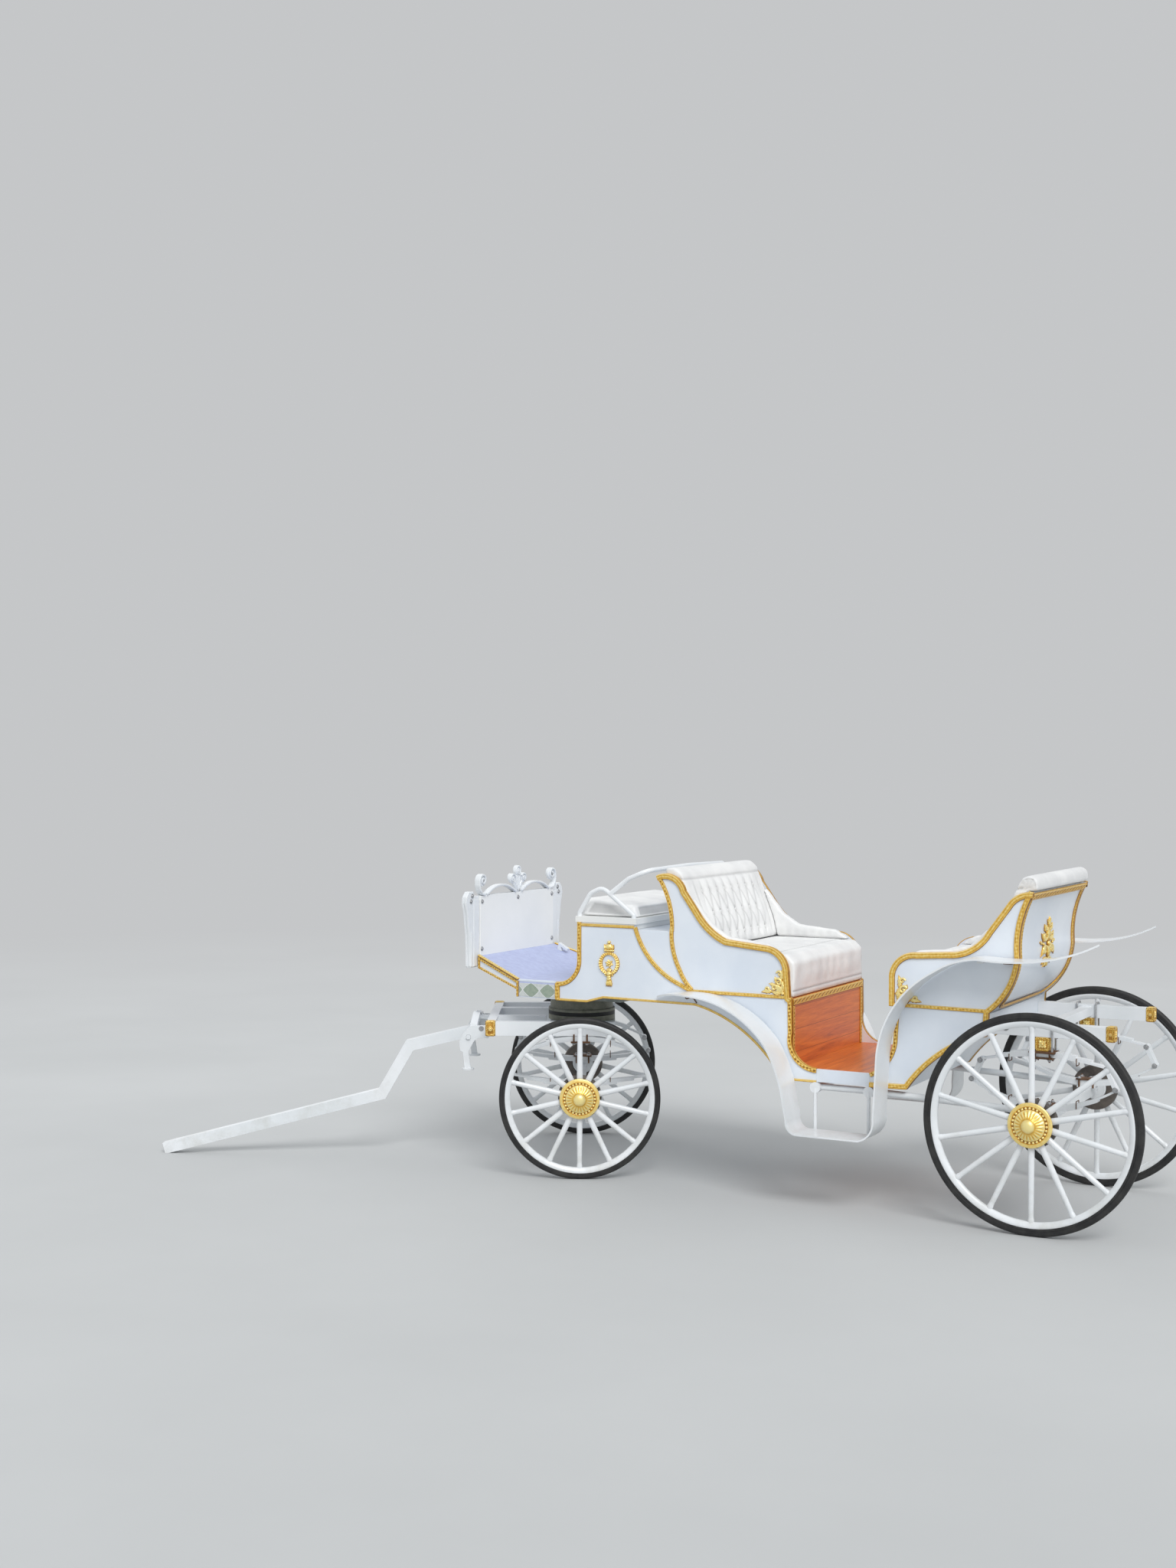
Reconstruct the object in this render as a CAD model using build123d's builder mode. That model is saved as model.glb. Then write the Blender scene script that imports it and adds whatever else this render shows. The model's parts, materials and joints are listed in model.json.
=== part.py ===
"""An open four-wheeled horse-drawn carriage with two facing passenger seats and a driver's box.

X points forward, Y to the left and Z up. The origin is on the ground in the middle of the
carriage's length and width. Side-view sizes are measured forward from the rear axle and up
from the ground, and sizes on the steered front gear are measured forward from its kingpin.
"""
from build123d import *
from math import atan2, cos, radians, sin
import os

os.makedirs("parts", exist_ok=True)

# Wheels
rear_wheel_r = 500.0
front_wheel_r = 410.0
tyre_width = 40.0
tyre_part = 0.072          # radial thickness of a tyre as a part of the wheel radius
tyre_round = 12.0
rim_depth = 28.0
rim_width = 36.0
spoke_count = 14
spoke_r = 13.5
hub_r = 62.0
hub_inner = 66.0           # hub barrel, inwards from the wheel's middle plane
hub_outer = 24.0
drum_r = 112.0
drum_width = 44.0
cap_r = 102.0
cap_height = 56.0
spindle_r = 20.0
spindle_gap = 0.3
rear_track = 1196.0
front_track = 1217.0

# Front gear, turned to the left as it stands
wheelbase = 2622.0
steer_deg = 27.8
gear_bar_inset = 198.5     # from a front wheel's middle plane to the gear's side bar
gear_bar_width = 50.0
gear_bar_top = 772.0
gear_bar_height = 72.0
gear_bar_front = 440.0
gear_bar_rear = 180.0
gear_cross_depth = 46.0
gear_inner_v = 165.0
gear_cap_length = 52.0
ring_r = 178.0
ring_top = 800.0
ring_bottom = 738.0
ring_width = 34.0
kingpin_r = 18.0
axle_size = 46.0

# Pole, resting on the ground at its tip
pole_size = 60.0
pole_pivot = (592.0, 668.0)      # ahead of the kingpin, above the ground
pole_knee = (925.0, 588.0)
pole_heel = (1075.0, 326.0)
pole_tip_reach = 2250.0
pole_tip_z = 25.0          # middle of the tip, whose underside is worn flat on the ground
pole_pin_r = 12.0
pin_gap = 0.5
hitch_v = 250.0
hitch_plate = 14.0

# Body shell
half_width = 490.0
panel = 18.0
sheet = 12.0
sill_top = 650.0
sill_bottom = 588.0
belly_z = 918.0
seat_line = 978.0
door_front = 1205.0
door_rear = 680.0
sill_front = 1074.0
sill_rear = 805.0
arm_z = 1226.0
back_top_z = 1548.0
board = 18.0
seat_top_z = 1190.0
pad = 46.0
soft_gap = 0.4

# Driver's box, footboard and dash
box_front = 2378.0
box_rear = 2055.0
box_top = 1300.0
deck_z = 1274.0
seat_board = 30.0
cove_front = 2503.0
cove_z = 984.0
foot_flat_end = 2732.0
dash_x = 3022.0
dash_half = 415.0
dash_top = 1405.0
dash_rise = 104.0          # how far the footboard climbs from its flat to the dash
skirt_bottom = 896.0

# Fenders and steps
fender_in = 500.0
fender_out = 680.0
fender_t = 8.0
step_z = 365.0
step_rear = 794.0
step_front = 1100.0

# Chassis
rail_inset = 198.0         # from a rear wheel's middle plane to the tail rail
rail_width = 50.0
rail_top = 934.0
rail_height = 64.0
rail_rear = -287.0
rail_cap = 40.0
tail_x = 242.0             # rear wall of the body, where the rails begin
tube_r = 17.0
tube_z = 562.0
rod_y = 458.0
leaf = 9.0
spring_width = 44.0

# Where the rear axle's middle lies, so that the origin is in the middle of the outline
steer = radians(steer_deg)
pole_fall = atan2(pole_heel[1] - pole_tip_z, pole_tip_reach - pole_heel[0])
tip_reach = pole_tip_reach + pole_size / 2 * sin(pole_fall)
tip_x = wheelbase + tip_reach * cos(steer) + pole_size / 2 * sin(steer)
tip_y = tip_reach * sin(steer) + pole_size / 2 * cos(steer)
wheel_y = (front_track / 2 * cos(steer) + (front_wheel_r - tyre_round) * sin(steer)
           + (tyre_width / 2 - tyre_round) * cos(steer) + tyre_round)
datum_x = -(tip_x - rear_wheel_r) / 2
datum_y = -(tip_y - wheel_y) / 2
inner = half_width - panel
gear_bar_v = front_track / 2 - gear_bar_inset
rail_y = rear_track / 2 - rail_inset


def side(y=0.0):
    """Side view at y: x forward from the rear axle, y up, extruding to the right."""
    return Plane(origin=(datum_x, datum_y + y, 0), x_dir=(1, 0, 0), z_dir=(0, -1, 0))


def plan(z=0.0):
    """Plan view at height z: x forward from the rear axle, y to the left, extruding up."""
    return Plane(origin=(datum_x, datum_y, z), x_dir=(1, 0, 0), z_dir=(0, 0, 1))


def across(x=0.0):
    """View along the carriage at x: x to the left, y up, extruding forward."""
    return Plane(origin=(datum_x + x, datum_y, 0), x_dir=(0, 1, 0), z_dir=(1, 0, 0))


def gear_side(v=0.0):
    """Side view of the turned gear, v to its left."""
    return Plane(origin=(datum_x + wheelbase - v * sin(steer), datum_y + v * cos(steer), 0),
                 x_dir=(cos(steer), sin(steer), 0), z_dir=(sin(steer), -cos(steer), 0))


def gear_across(u=0.0):
    """View along the turned gear at u: x to its left, y up, extruding forward."""
    return Plane(origin=(datum_x + wheelbase + u * cos(steer), datum_y + u * sin(steer), 0),
                 x_dir=(-sin(steer), cos(steer), 0), z_dir=(cos(steer), sin(steer), 0))


def gear_plan(z=0.0):
    """Plan view of the turned gear at height z."""
    return Plane(origin=(datum_x + wheelbase, datum_y, z), x_dir=(cos(steer), sin(steer), 0),
                 z_dir=(0, 0, 1))


def trace_outline(start, rows):
    """Joins rows of (via, end) from start: a line where via is None, otherwise an arc."""
    at = start
    for via, end in rows:
        if via is None:
            Line(at, end)
        else:
            ThreePointArc(at, via, end)
        at = end


def bar_outline(middle, half):
    """Closed outline of a bar, half to each side of its middle line and mitred at its bends."""
    points = [Vector(x, y) for x, y in middle]
    runs = [(b - a).normalized() for a, b in zip(points, points[1:])]
    edges = []
    for before, after in zip(runs[:1] + runs, runs + runs[-1:]):
        square = Vector(-before.Y, before.X)
        mitre = (square + Vector(-after.Y, after.X)).normalized()
        edges.append(mitre * (half / mitre.dot(square)))
    upper = [p + e for p, e in zip(points, edges)]
    lower = [p - e for p, e in zip(points, edges)]
    return upper + lower[::-1]


def finish(builder, name):
    """Labels a finished piece and writes its file."""
    builder.part.label = name
    export_step(builder.part, f"parts/{name}.step")


def slab(name, plane, start, rows, thickness):
    """A flat piece cut to a closed outline."""
    with BuildPart() as piece:
        with BuildSketch(plane):
            with BuildLine():
                trace_outline(start, rows)
            make_face()
        extrude(amount=thickness)
    finish(piece, name)


def bent_sheet(name, plane, start, rows, thickness, half, side_of=Side.LEFT):
    """A sheet bent along an open line in side view, as wide as half on each side."""
    with BuildPart() as piece:
        with BuildSketch(plane):
            with BuildLine():
                trace_outline(start, rows)
                offset(amount=thickness, side=side_of)
            make_face()
        extrude(amount=half, both=True)
    finish(piece, name)


def box_piece(name, rows):
    """One node of boxes; rows of x from, x to, y from, y to, z from, z to."""
    with BuildPart() as piece:
        for x0, x1, y0, y1, z0, z1 in rows:
            with BuildSketch(plan(z0)):
                with Locations(((x0 + x1) / 2, (y0 + y1) / 2)):
                    Rectangle(x1 - x0, y1 - y0)
            extrude(amount=z1 - z0)
    finish(piece, name)


# Side panels: outlines from the doorway round, as (via, end) rows
belly_end = (1252.0, sill_bottom)
front_back_top = (box_rear - 124.0, back_top_z)
front_back_mid = (back_top_z + deck_z) / 2 + 14
rear_back_low = arm_z + 4
rear_back_mid = (back_top_z - 18 + rear_back_low) / 2 + 10
front_outline = [
    ((1172, 694), (1202, 810)),
    (None, (door_front, seat_line)),
    (None, (1215, seat_line + 4)),
    (None, (1223, 1100)),
    ((1258, 1186), (1340, arm_z - 2)),
    (None, (1551, arm_z + 19)),
    ((1640, arm_z + 76), (1700, arm_z + 146)),
    (None, (1775, back_top_z - 70)),
    ((1838, back_top_z + 2), front_back_top),
    ((1870, front_back_mid), (1852, deck_z)),
    (None, (box_rear, deck_z)),
    (None, (box_rear, box_top)),
    (None, (box_front, box_top)),
    (None, (box_front, 1114)),
    ((2410, 1022), (cove_front, cove_z)),
    (None, (cove_front, skirt_bottom)),
    (None, (2326, skirt_bottom)),
    (None, (2230, belly_z + 4)),
    (None, (1720, belly_z)),
    ((1478, 818), belly_end),
    (None, (sill_front, sill_bottom)),
]
rear_arm_front = door_rear + 28
rear_outline = [
    ((708, 738), (684, 832)),
    (None, (door_rear - 4, seat_line)),
    (None, (rear_arm_front, seat_line)),
    (None, (rear_arm_front, 1120)),
    ((672, arm_z - 31), (577, arm_z + 3)),
    (None, (423, arm_z + 13)),
    ((318, arm_z + 40), (238, arm_z + 120)),
    (None, (150, back_top_z - 82)),
    ((98, back_top_z - 32), (28, back_top_z - 18)),
    ((82, rear_back_mid), (92, rear_back_low)),
    ((128, 1098), (tail_x - 8, seat_line - 6)),
    (None, (tail_x, 866)),
    ((470, 752), (623, sill_bottom + 4)),
    (None, (sill_rear, sill_bottom)),
]
door_sill_front = (sill_front, sill_top)
door_sill_rear = (sill_rear, sill_top)
for hand, face_y in (("left", half_width), ("right", -inner)):
    slab(f"side_panel_front_{hand}", side(face_y), door_sill_front,
         front_outline + [(None, door_sill_front)], panel)
    slab(f"side_panel_rear_{hand}", side(face_y), door_sill_rear,
         rear_outline + [(None, door_sill_rear)], panel)

# Passenger floor, its sills and the risers under the two seats
floor_t = 30.0
floor_bottom = sill_top - floor_t
box_piece("passenger_floor", [(door_rear, door_front, -inner, inner, floor_bottom, sill_top)])
box_piece("door_sills",
          [(sill_rear, sill_front, s * half_width - (panel if s > 0 else 0),
            s * half_width + (0 if s > 0 else panel), sill_bottom, sill_top) for s in (1, -1)])
box_piece("front_riser",
          [(door_front, door_front + board, -inner, inner, floor_bottom, seat_line)])
box_piece("rear_riser", [(door_rear - board, door_rear, -inner, inner, floor_bottom, seat_line)])
box_piece("front_seat_deck",
          [(door_front + board, 1755, -inner, inner, seat_line - board, seat_line)])
box_piece("rear_seat_deck",
          [(tail_x + 12, door_rear - board, -inner, inner, seat_line - board, seat_line)])

# Curved underside of the body at the front and the rear
bent_sheet("front_belly", side(), (cove_front, skirt_bottom), [
    (None, (2326, skirt_bottom)),
    (None, (2230, belly_z + 4)),
    (None, (1720, belly_z)),
    ((1478, 818), belly_end),
], sheet, inner, Side.RIGHT)
bent_sheet("rear_belly", side(), (tail_x, 962), [
    (None, (tail_x, 866)),
    ((470, 752), (623, sill_bottom + 4)),
], sheet, inner, Side.LEFT)

# Back shells of the two passenger seats
bent_sheet("front_seat_back", side(), (1923, back_top_z - 4), [
    ((1862, front_back_mid), (1846, deck_z)),
    ((1822, 1115), (1757, seat_line + 2)),
], 14.0, inner, Side.RIGHT)
bent_sheet("rear_seat_back", side(), (34, back_top_z - 22), [
    ((85, rear_back_mid), (96, rear_back_low)),
    ((132, 1100), (tail_x - 2, seat_line + 2)),
], 14.0, inner, Side.LEFT)

# Driver's box: its front with the cove, the deck behind the seat and the seat
bent_sheet("driver_box_front", side(), (box_front, box_top), [
    (None, (box_front, 1114)),
    ((2410, 1022), (cove_front, cove_z)),
], sheet, inner, Side.RIGHT)
box_piece("driver_deck", [(1850, box_rear, -inner, inner, deck_z - board, deck_z)])
seat_front = box_front + 14
seat_rear = box_rear - 10
seat_half = half_width + 4
board_top = box_top + seat_board
box_piece("driver_seat_base",
          [(seat_rear, seat_front, -seat_half, seat_half, box_top, board_top),
           (box_rear, box_rear + board, -inner, inner, deck_z, box_top)])

# Driver's cushion: highest in front, with sloping ends
driver_pad_front_h = 88.0
driver_pad_rear_h = 60.0
driver_pad_half = 442.0
driver_pad_slope = 34.0
driver_pad_low = board_top + soft_gap
driver_pad_top = board_top + driver_pad_front_h
driver_pad_rear = seat_rear + 18
driver_pad_front = seat_front - 2
with BuildPart() as driver_pad:
    with BuildSketch(side()):
        Polygon((driver_pad_rear, driver_pad_low), (driver_pad_front, driver_pad_low),
                (driver_pad_front - 8, driver_pad_top),
                (driver_pad_rear + 28, board_top + driver_pad_rear_h), align=None)
    extrude(amount=driver_pad_half, both=True)
    with BuildSketch(across(driver_pad_rear)):
        Polygon((-driver_pad_half, driver_pad_low), (driver_pad_half, driver_pad_low),
                (driver_pad_half - driver_pad_slope, driver_pad_top),
                (driver_pad_slope - driver_pad_half, driver_pad_top), align=None)
    extrude(amount=driver_pad_front - driver_pad_rear, mode=Mode.INTERSECT)
finish(driver_pad, "driver_seat_cushion")

rail_r = 12.0
rail_out = half_width - 20.0
hoop_bend = 55.0
hoop_front = box_front + 1.0
hoop_rear = box_rear + 13.0
hoop_length = hoop_front - hoop_rear
arm_knee = hoop_front - 0.20 * hoop_length
arm_crest = hoop_front - 0.42 * hoop_length
arm_fall = hoop_front - 0.65 * hoop_length
hoop_start = hoop_front - 0.557 * hoop_length
with BuildPart() as rails:
    for y in (rail_out, -rail_out):
        with BuildLine(side(y)):
            arm = FilletPolyline((hoop_front, board_top), (hoop_front, board_top + 16),
                                 (arm_knee, board_top + 116), (arm_crest, board_top + 150),
                                 (arm_fall, board_top + 96), (hoop_rear, board_top + 14),
                                 (hoop_rear, board_top),
                                 radius=[12, hoop_bend, hoop_bend, hoop_bend, 10])
        with BuildSketch(Plane(origin=arm @ 0, z_dir=arm % 0)):
            Circle(rail_r)
        sweep(path=arm)
    with BuildLine(plan()):
        hoop = FilletPolyline((hoop_start, rail_out, board_top + 116),
                              (box_rear + 43, rail_out, board_top + 198),
                              (box_rear - 63, rail_out, board_top + 242),
                              (box_rear - 71, 0, board_top + 250),
                              (box_rear - 63, -rail_out, board_top + 242),
                              (box_rear + 43, -rail_out, board_top + 198),
                              (hoop_start, -rail_out, board_top + 116), radius=hoop_bend)
    with BuildSketch(Plane(origin=hoop @ 0, z_dir=hoop % 0)):
        Circle(rail_r)
    sweep(path=hoop)
finish(rails, "driver_rails")

# Footboard: flat, then climbing to the dash, and narrower towards it
foot_rear = cove_front + 1.0
foot_plan = [(foot_rear, half_width), (foot_flat_end, half_width), (dash_x, dash_half),
             (dash_x, -dash_half), (foot_flat_end, -half_width), (foot_rear, -half_width)]
skirt_t = 14.0
skirt_knee_z = 932.0
skirt_front_z = 1024.0
with BuildPart() as footboard:
    with BuildSketch(side()):
        Polygon((foot_rear, cove_z - board), (foot_flat_end, cove_z - board),
                (dash_x, cove_z - board + dash_rise), (dash_x, cove_z + dash_rise),
                (foot_flat_end, cove_z), (foot_rear, cove_z), align=None)
    extrude(amount=half_width, both=True)
    with BuildSketch(plan()):
        Polygon(*foot_plan, align=None)
    extrude(amount=box_top, mode=Mode.INTERSECT)
finish(footboard, "footboard")

with BuildPart() as skirt:
    with BuildSketch(plan()):
        Polygon(*foot_plan, align=None)
        Polygon((foot_rear - 1, half_width - skirt_t), (foot_flat_end, half_width - skirt_t),
                (dash_x - skirt_t, dash_half - skirt_t), (dash_x - skirt_t, skirt_t - dash_half),
                (foot_flat_end, skirt_t - half_width), (foot_rear - 1, skirt_t - half_width),
                align=None, mode=Mode.SUBTRACT)
    extrude(amount=box_top)
    with BuildSketch(side()):
        Polygon((foot_rear, skirt_bottom), (foot_flat_end, skirt_bottom),
                (foot_flat_end, skirt_knee_z), (dash_x, skirt_front_z),
                (dash_x, cove_z - board + dash_rise), (foot_flat_end, cove_z - board),
                (foot_rear, cove_z - board), align=None)
    extrude(amount=half_width, both=True, mode=Mode.INTERSECT)
finish(skirt, "footboard_skirt")

# Dash: a board on two wide posts with an ear at the top of each, a front sheet and a crown
dash_foot = 1058.0
frame_foot = 1028.0
board_half = 392.0
board_depth = 10.0
post_depth = 31.0
post_out = 475.0
ear_out = 518.0
ear_in = 445.0
front_sheet = 12.0
post_shape = [(board_half - 7, frame_foot), (post_out, frame_foot), (post_out + 8, 1210),
              (ear_out - 15, 1330), (ear_out, 1371), (ear_out - 7, 1404), (ear_out - 30, 1430),
              (ear_in, 1430), (ear_in, dash_top), (board_half - 7, dash_top)]
box_piece("dash_panel",
          [(dash_x, dash_x + board_depth, -board_half, board_half, dash_foot, dash_top)])
with BuildPart() as dash_frame:
    with BuildSketch(across(dash_x + board_depth)):
        for hand in (1, -1):
            Polygon(*[(hand * y, z) for y, z in post_shape], align=None)
    extrude(amount=post_depth)
    with BuildSketch(across(dash_x + board_depth + post_depth - front_sheet)):
        with Locations((0, (frame_foot + dash_top) / 2)):
            Rectangle(2 * board_half, dash_top - frame_foot)
    extrude(amount=front_sheet)
finish(dash_frame, "dash_frame")

crown_t = 36.0
scroll_y = 371.0
scroll_z = 1486.0
scroll_r = 43.0
ribbon = 14.0
lobe_r = 31.0
lobe_y = 60.0
crown_mid = dash_top + 72
with BuildPart() as crown:
    with BuildSketch(across(dash_x - crown_t / 2 + 8)):
        for hand in (1, -1):
            with Locations((hand * scroll_y, scroll_z)):
                Circle(scroll_r)
            with Locations((hand * (scroll_y + scroll_r - ribbon / 2), (dash_top + scroll_z) / 2)):
                Rectangle(ribbon, scroll_z - dash_top)
            with BuildLine():
                low = [(hand * 300, dash_top), (hand * 174, dash_top + 40), (hand * 46, dash_top)]
                high = [(hand * 30, dash_top), (hand * 174, dash_top + 54), (hand * 332, dash_top)]
                ThreePointArc(*low)
                Line(low[2], high[0])
                ThreePointArc(*high)
                Line(high[2], low[0])
            make_face()
            with Locations((hand * lobe_y, crown_mid + 4)):
                Circle(lobe_r)
        with Locations((0, scroll_z + 33)):
            Circle(lobe_r - 2)
        with Locations((0, crown_mid)):
            Circle(lobe_r + 6)
        with Locations((0, (dash_top + crown_mid) / 2)):
            Rectangle(52, crown_mid - dash_top)
    extrude(amount=crown_t)
finish(crown, "dash_crown")


def foot_top(x):
    """Height of the climbing part of the footboard at x."""
    return cove_z + dash_rise * (x - foot_flat_end) / (dash_x - foot_flat_end)


pedal_x = 2930.0
pedal = [(pedal_x, foot_top(pedal_x)), (pedal_x + 26, foot_top(pedal_x + 26)),
         (pedal_x + 16, 1104), (pedal_x - 42, 1070), (pedal_x - 36, 1058), (pedal_x + 2, 1080)]
slab("foot_brake", side(-320), pedal[0], [(None, at) for at in pedal[1:] + pedal[:1]], 26.0)

# Fenders with their steps: one band from the front tail, down to the step and over the wheel
fender_line = [
    ((1792, 980), (1690, 985)),
    ((1440, 922), (1264, 775)),
    ((1202, 650), (1165, 500)),
    (None, (1150, 425)),
    ((1136, 381), (step_front, step_z)),
    (None, (step_rear, step_z)),
    ((748, 392), (724, 470)),
    (None, (708, 770)),
    ((640, 975), (437, 1170)),
    ((345, 1216), (230, 1237)),
    ((80, 1231), (-70, 1244)),
    ((-188, 1274), (-288, 1318)),
]
bracket = 30.0
for hand, way in (("left", 1), ("right", -1)):
    with BuildPart() as fender:
        with BuildSketch(side(way * (fender_in + fender_out) / 2)):
            with BuildLine():
                trace_outline((1922, 950), fender_line)
                offset(amount=fender_t, side=Side.LEFT)
            make_face()
        extrude(amount=(fender_out - fender_in) / 2, both=True)
        with BuildSketch(plan()):
            with BuildLine():
                trace_outline((1925, way * fender_in), [
                    ((1830, way * 592), (1680, way * fender_out)),
                    (None, (140, way * fender_out)),
                    ((-90, way * 650), (-290, way * 574)),
                    (None, (-290, way * 562)),
                    (None, (150, way * fender_in)),
                    (None, (1925, way * fender_in)),
                ])
            make_face()
        extrude(amount=box_top + 40, mode=Mode.INTERSECT)
        for x, z in ((1706, 966), (262, 1214)):
            with BuildSketch(side(way * (half_width + fender_in + bracket) / 2)):
                with Locations((x, z)):
                    Rectangle(bracket, 24)
            extrude(amount=(fender_in + bracket - half_width) / 2, both=True)
    finish(fender, f"fender_{hand}")

# Chassis: rails under the tail with a cross-member, tubes under the floor and step hangers
rail_bottom = rail_top - rail_height
with BuildPart() as chassis:
    for y in (rail_y, -rail_y):
        with BuildSketch(plan(rail_bottom)):
            with Locations(((rail_rear + tail_x) / 2, y)):
                Rectangle(tail_x - rail_rear, rail_width)
        extrude(amount=rail_height)
    with BuildSketch(plan(rail_bottom + 10)):
        Rectangle(50, 2 * rail_y)
    extrude(amount=rail_height - 20)
finish(chassis, "chassis_rails")

block = 70.0
gilt = rail_width + 6
spring_seat_top = 806.0
box_piece("rail_caps",
          [(rail_rear - rail_cap, rail_rear, s * rail_y - gilt / 2, s * rail_y + gilt / 2,
            rail_bottom - 3, rail_top + 3) for s in (1, -1)])
box_piece("spring_blocks",
          [(-block / 2, block / 2, s * rail_y - gilt / 2, s * rail_y + gilt / 2,
            spring_seat_top, rail_bottom) for s in (1, -1)])

tube_out = half_width + 8
cross_tubes = (1078.0, 808.0)
rod_rear = 24.5
rod_rear_z = 532.0
hanger_r = 9.0
with BuildPart() as tubes:
    for x in cross_tubes:
        with BuildSketch(side(tube_out)):
            with Locations((x, tube_z)):
                Circle(tube_r)
        extrude(amount=2 * tube_out)
        for y in (tube_out, 40 - tube_out):
            with BuildSketch(side(y)):
                with Locations((x, tube_z)):
                    Circle(tube_r + 9)
            extrude(amount=40)
    for y in (rod_y, -rod_y):
        with BuildLine(side(y)):
            rod = Polyline((cross_tubes[0], tube_z), (cross_tubes[1], tube_z),
                           (rod_rear, rod_rear_z))
        with BuildSketch(Plane(origin=rod @ 0, z_dir=rod % 0)):
            Circle(tube_r - 1)
        sweep(path=rod, transition=Transition.ROUND)
    hanger_y = fender_in - hanger_r - soft_gap
    with BuildSketch(plan(step_z - fender_t)):
        with Locations(*[(x, way * hanger_y) for x in cross_tubes for way in (1, -1)]):
            Circle(hanger_r)
    extrude(amount=tube_z - step_z + fender_t)
finish(tubes, "underfloor_tubes")


def leaf_rows(half, eye_z, crown_z, count, way):
    """Outlines of a pack's leaves, each shorter than the last; way 1 stacks them upwards."""
    rise = crown_z - eye_z
    radius = (half ** 2 + rise ** 2) / (2 * abs(rise))
    middle_z = crown_z - way * radius
    rows = []
    for number in range(count):
        reach = half * (1 - 0.24 * number)
        low, high = radius + number * leaf, radius + (number + 1) * leaf
        rows.append([(sign * reach, middle_z + way * (r ** 2 - reach ** 2) ** 0.5)
                     if sign else (0, middle_z + way * r)
                     for r, sign in ((low, -1), (low, 0), (low, 1), (high, 1), (high, 0),
                                     (high, -1))])
    return rows


def spring_pair(name, planes, upper, lower, seat, shackle):
    """Two full-elliptic springs; upper and lower hold half length, eye height and crown."""
    with BuildPart() as springs:
        for plane in planes:
            with BuildSketch(plane):
                for row, way in ((upper, 1), (lower, -1)):
                    for p in leaf_rows(*row, 3, way):
                        with BuildLine():
                            ThreePointArc(*p[:3])
                            Line(p[2], p[3])
                            ThreePointArc(*p[3:])
                            Line(p[5], p[0])
                        make_face()
                for sign in (1, -1):
                    eyes = [(sign * upper[0], upper[1]), (sign * lower[0], lower[1])]
                    with Locations(*eyes):
                        Circle(14)
            extrude(amount=spring_width / 2, both=True)
            with BuildSketch(plane):
                for sign in (1, -1):
                    with BuildLine():
                        Line((sign * upper[0], upper[1]), (sign * lower[0], lower[1]))
                        offset(amount=shackle, side=Side.BOTH)
                    make_face()
                with Locations((0, seat)):
                    Rectangle(90, 12)
            extrude(amount=spring_width / 2 + 6, both=True)
    finish(springs, name)


rear_seat_z = rear_wheel_r + axle_size / 2
spring_pair("rear_springs", [side(y) for y in (rail_y, -rail_y)],
            (290, 745, spring_seat_top - 3 * leaf), (330, 656, rear_seat_z + 10 + 3 * leaf),
            rear_seat_z + 6, 9)
front_seat_z = front_wheel_r + axle_size / 2
gear_bar_bottom = gear_bar_top - gear_bar_height
spring_pair("front_springs", [gear_side(v) for v in (gear_bar_v, -gear_bar_v)],
            (345, 578, gear_bar_bottom - 3 * leaf), (366, 506, front_seat_z + 10 + 3 * leaf),
            front_seat_z + 6, 9)

# Axles: a beam with a spindle at each end
for name, plane, radius, track in (
        ("rear_axle", side, rear_wheel_r, rear_track),
        ("front_axle", gear_side, front_wheel_r, front_track)):
    beam_half = track / 2 - hub_inner - drum_width / 2 - 14
    with BuildPart() as axle:
        with BuildSketch(plane()):
            with Locations((0, radius)):
                Rectangle(axle_size, axle_size)
        extrude(amount=beam_half, both=True)
        with BuildSketch(plane()):
            with Locations((0, radius)):
                Circle(spindle_r + 2)
        extrude(amount=track / 2 - hub_inner - spindle_gap, both=True)
        with BuildSketch(plane()):
            with Locations((0, radius)):
                Circle(spindle_r)
        extrude(amount=track / 2 + hub_outer - 2, both=True)
    finish(axle, name)

# Turntable between body and gear, with the kingpin, and the plate under the driver's box
drum_top = 862.0
mount_r = 168.0
ring_split = 768.0
plate_rear = wheelbase - 340.0
plate_front = foot_flat_end + 30.0
plate_width = 400.0
stub_r = 9.0
stub_length = 110.0
with BuildPart() as plate:
    with BuildSketch(plan(drum_top)):
        with Locations(((plate_rear + plate_front) / 2, 0)):
            Rectangle(plate_front - plate_rear, plate_width)
    extrude(amount=skirt_bottom - drum_top)
    with BuildSketch(plan(skirt_bottom)):
        with Locations(((foot_rear + foot_flat_end) / 2, 0)):
            Rectangle(foot_flat_end - foot_rear, plate_width)
    extrude(amount=cove_z - board - skirt_bottom)
    with BuildSketch(across(plate_rear)):
        with Locations((plate_width / 2 - 50, (drum_top + skirt_bottom) / 2)):
            Circle(stub_r)
    extrude(amount=-stub_length)
finish(plate, "box_mounting_plate")

with BuildPart() as upper:
    with BuildSketch(gear_plan(ring_split + spindle_gap)):
        Circle(ring_r)
        Circle(ring_r - ring_width, mode=Mode.SUBTRACT)
    extrude(amount=ring_top - ring_split - spindle_gap)
    with BuildSketch(gear_plan(ring_top)):
        Circle(mount_r)
    extrude(amount=drum_top - ring_top)
    with BuildSketch(gear_plan(gear_bar_bottom - 14)):
        Circle(kingpin_r)
    extrude(amount=ring_top - gear_bar_bottom + 14)
finish(upper, "turntable_upper")
with BuildPart() as lower:
    with BuildSketch(gear_plan(ring_bottom)):
        Circle(ring_r)
        Circle(ring_r - ring_width, mode=Mode.SUBTRACT)
    extrude(amount=ring_split - ring_bottom)
finish(lower, "turntable_lower")

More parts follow.
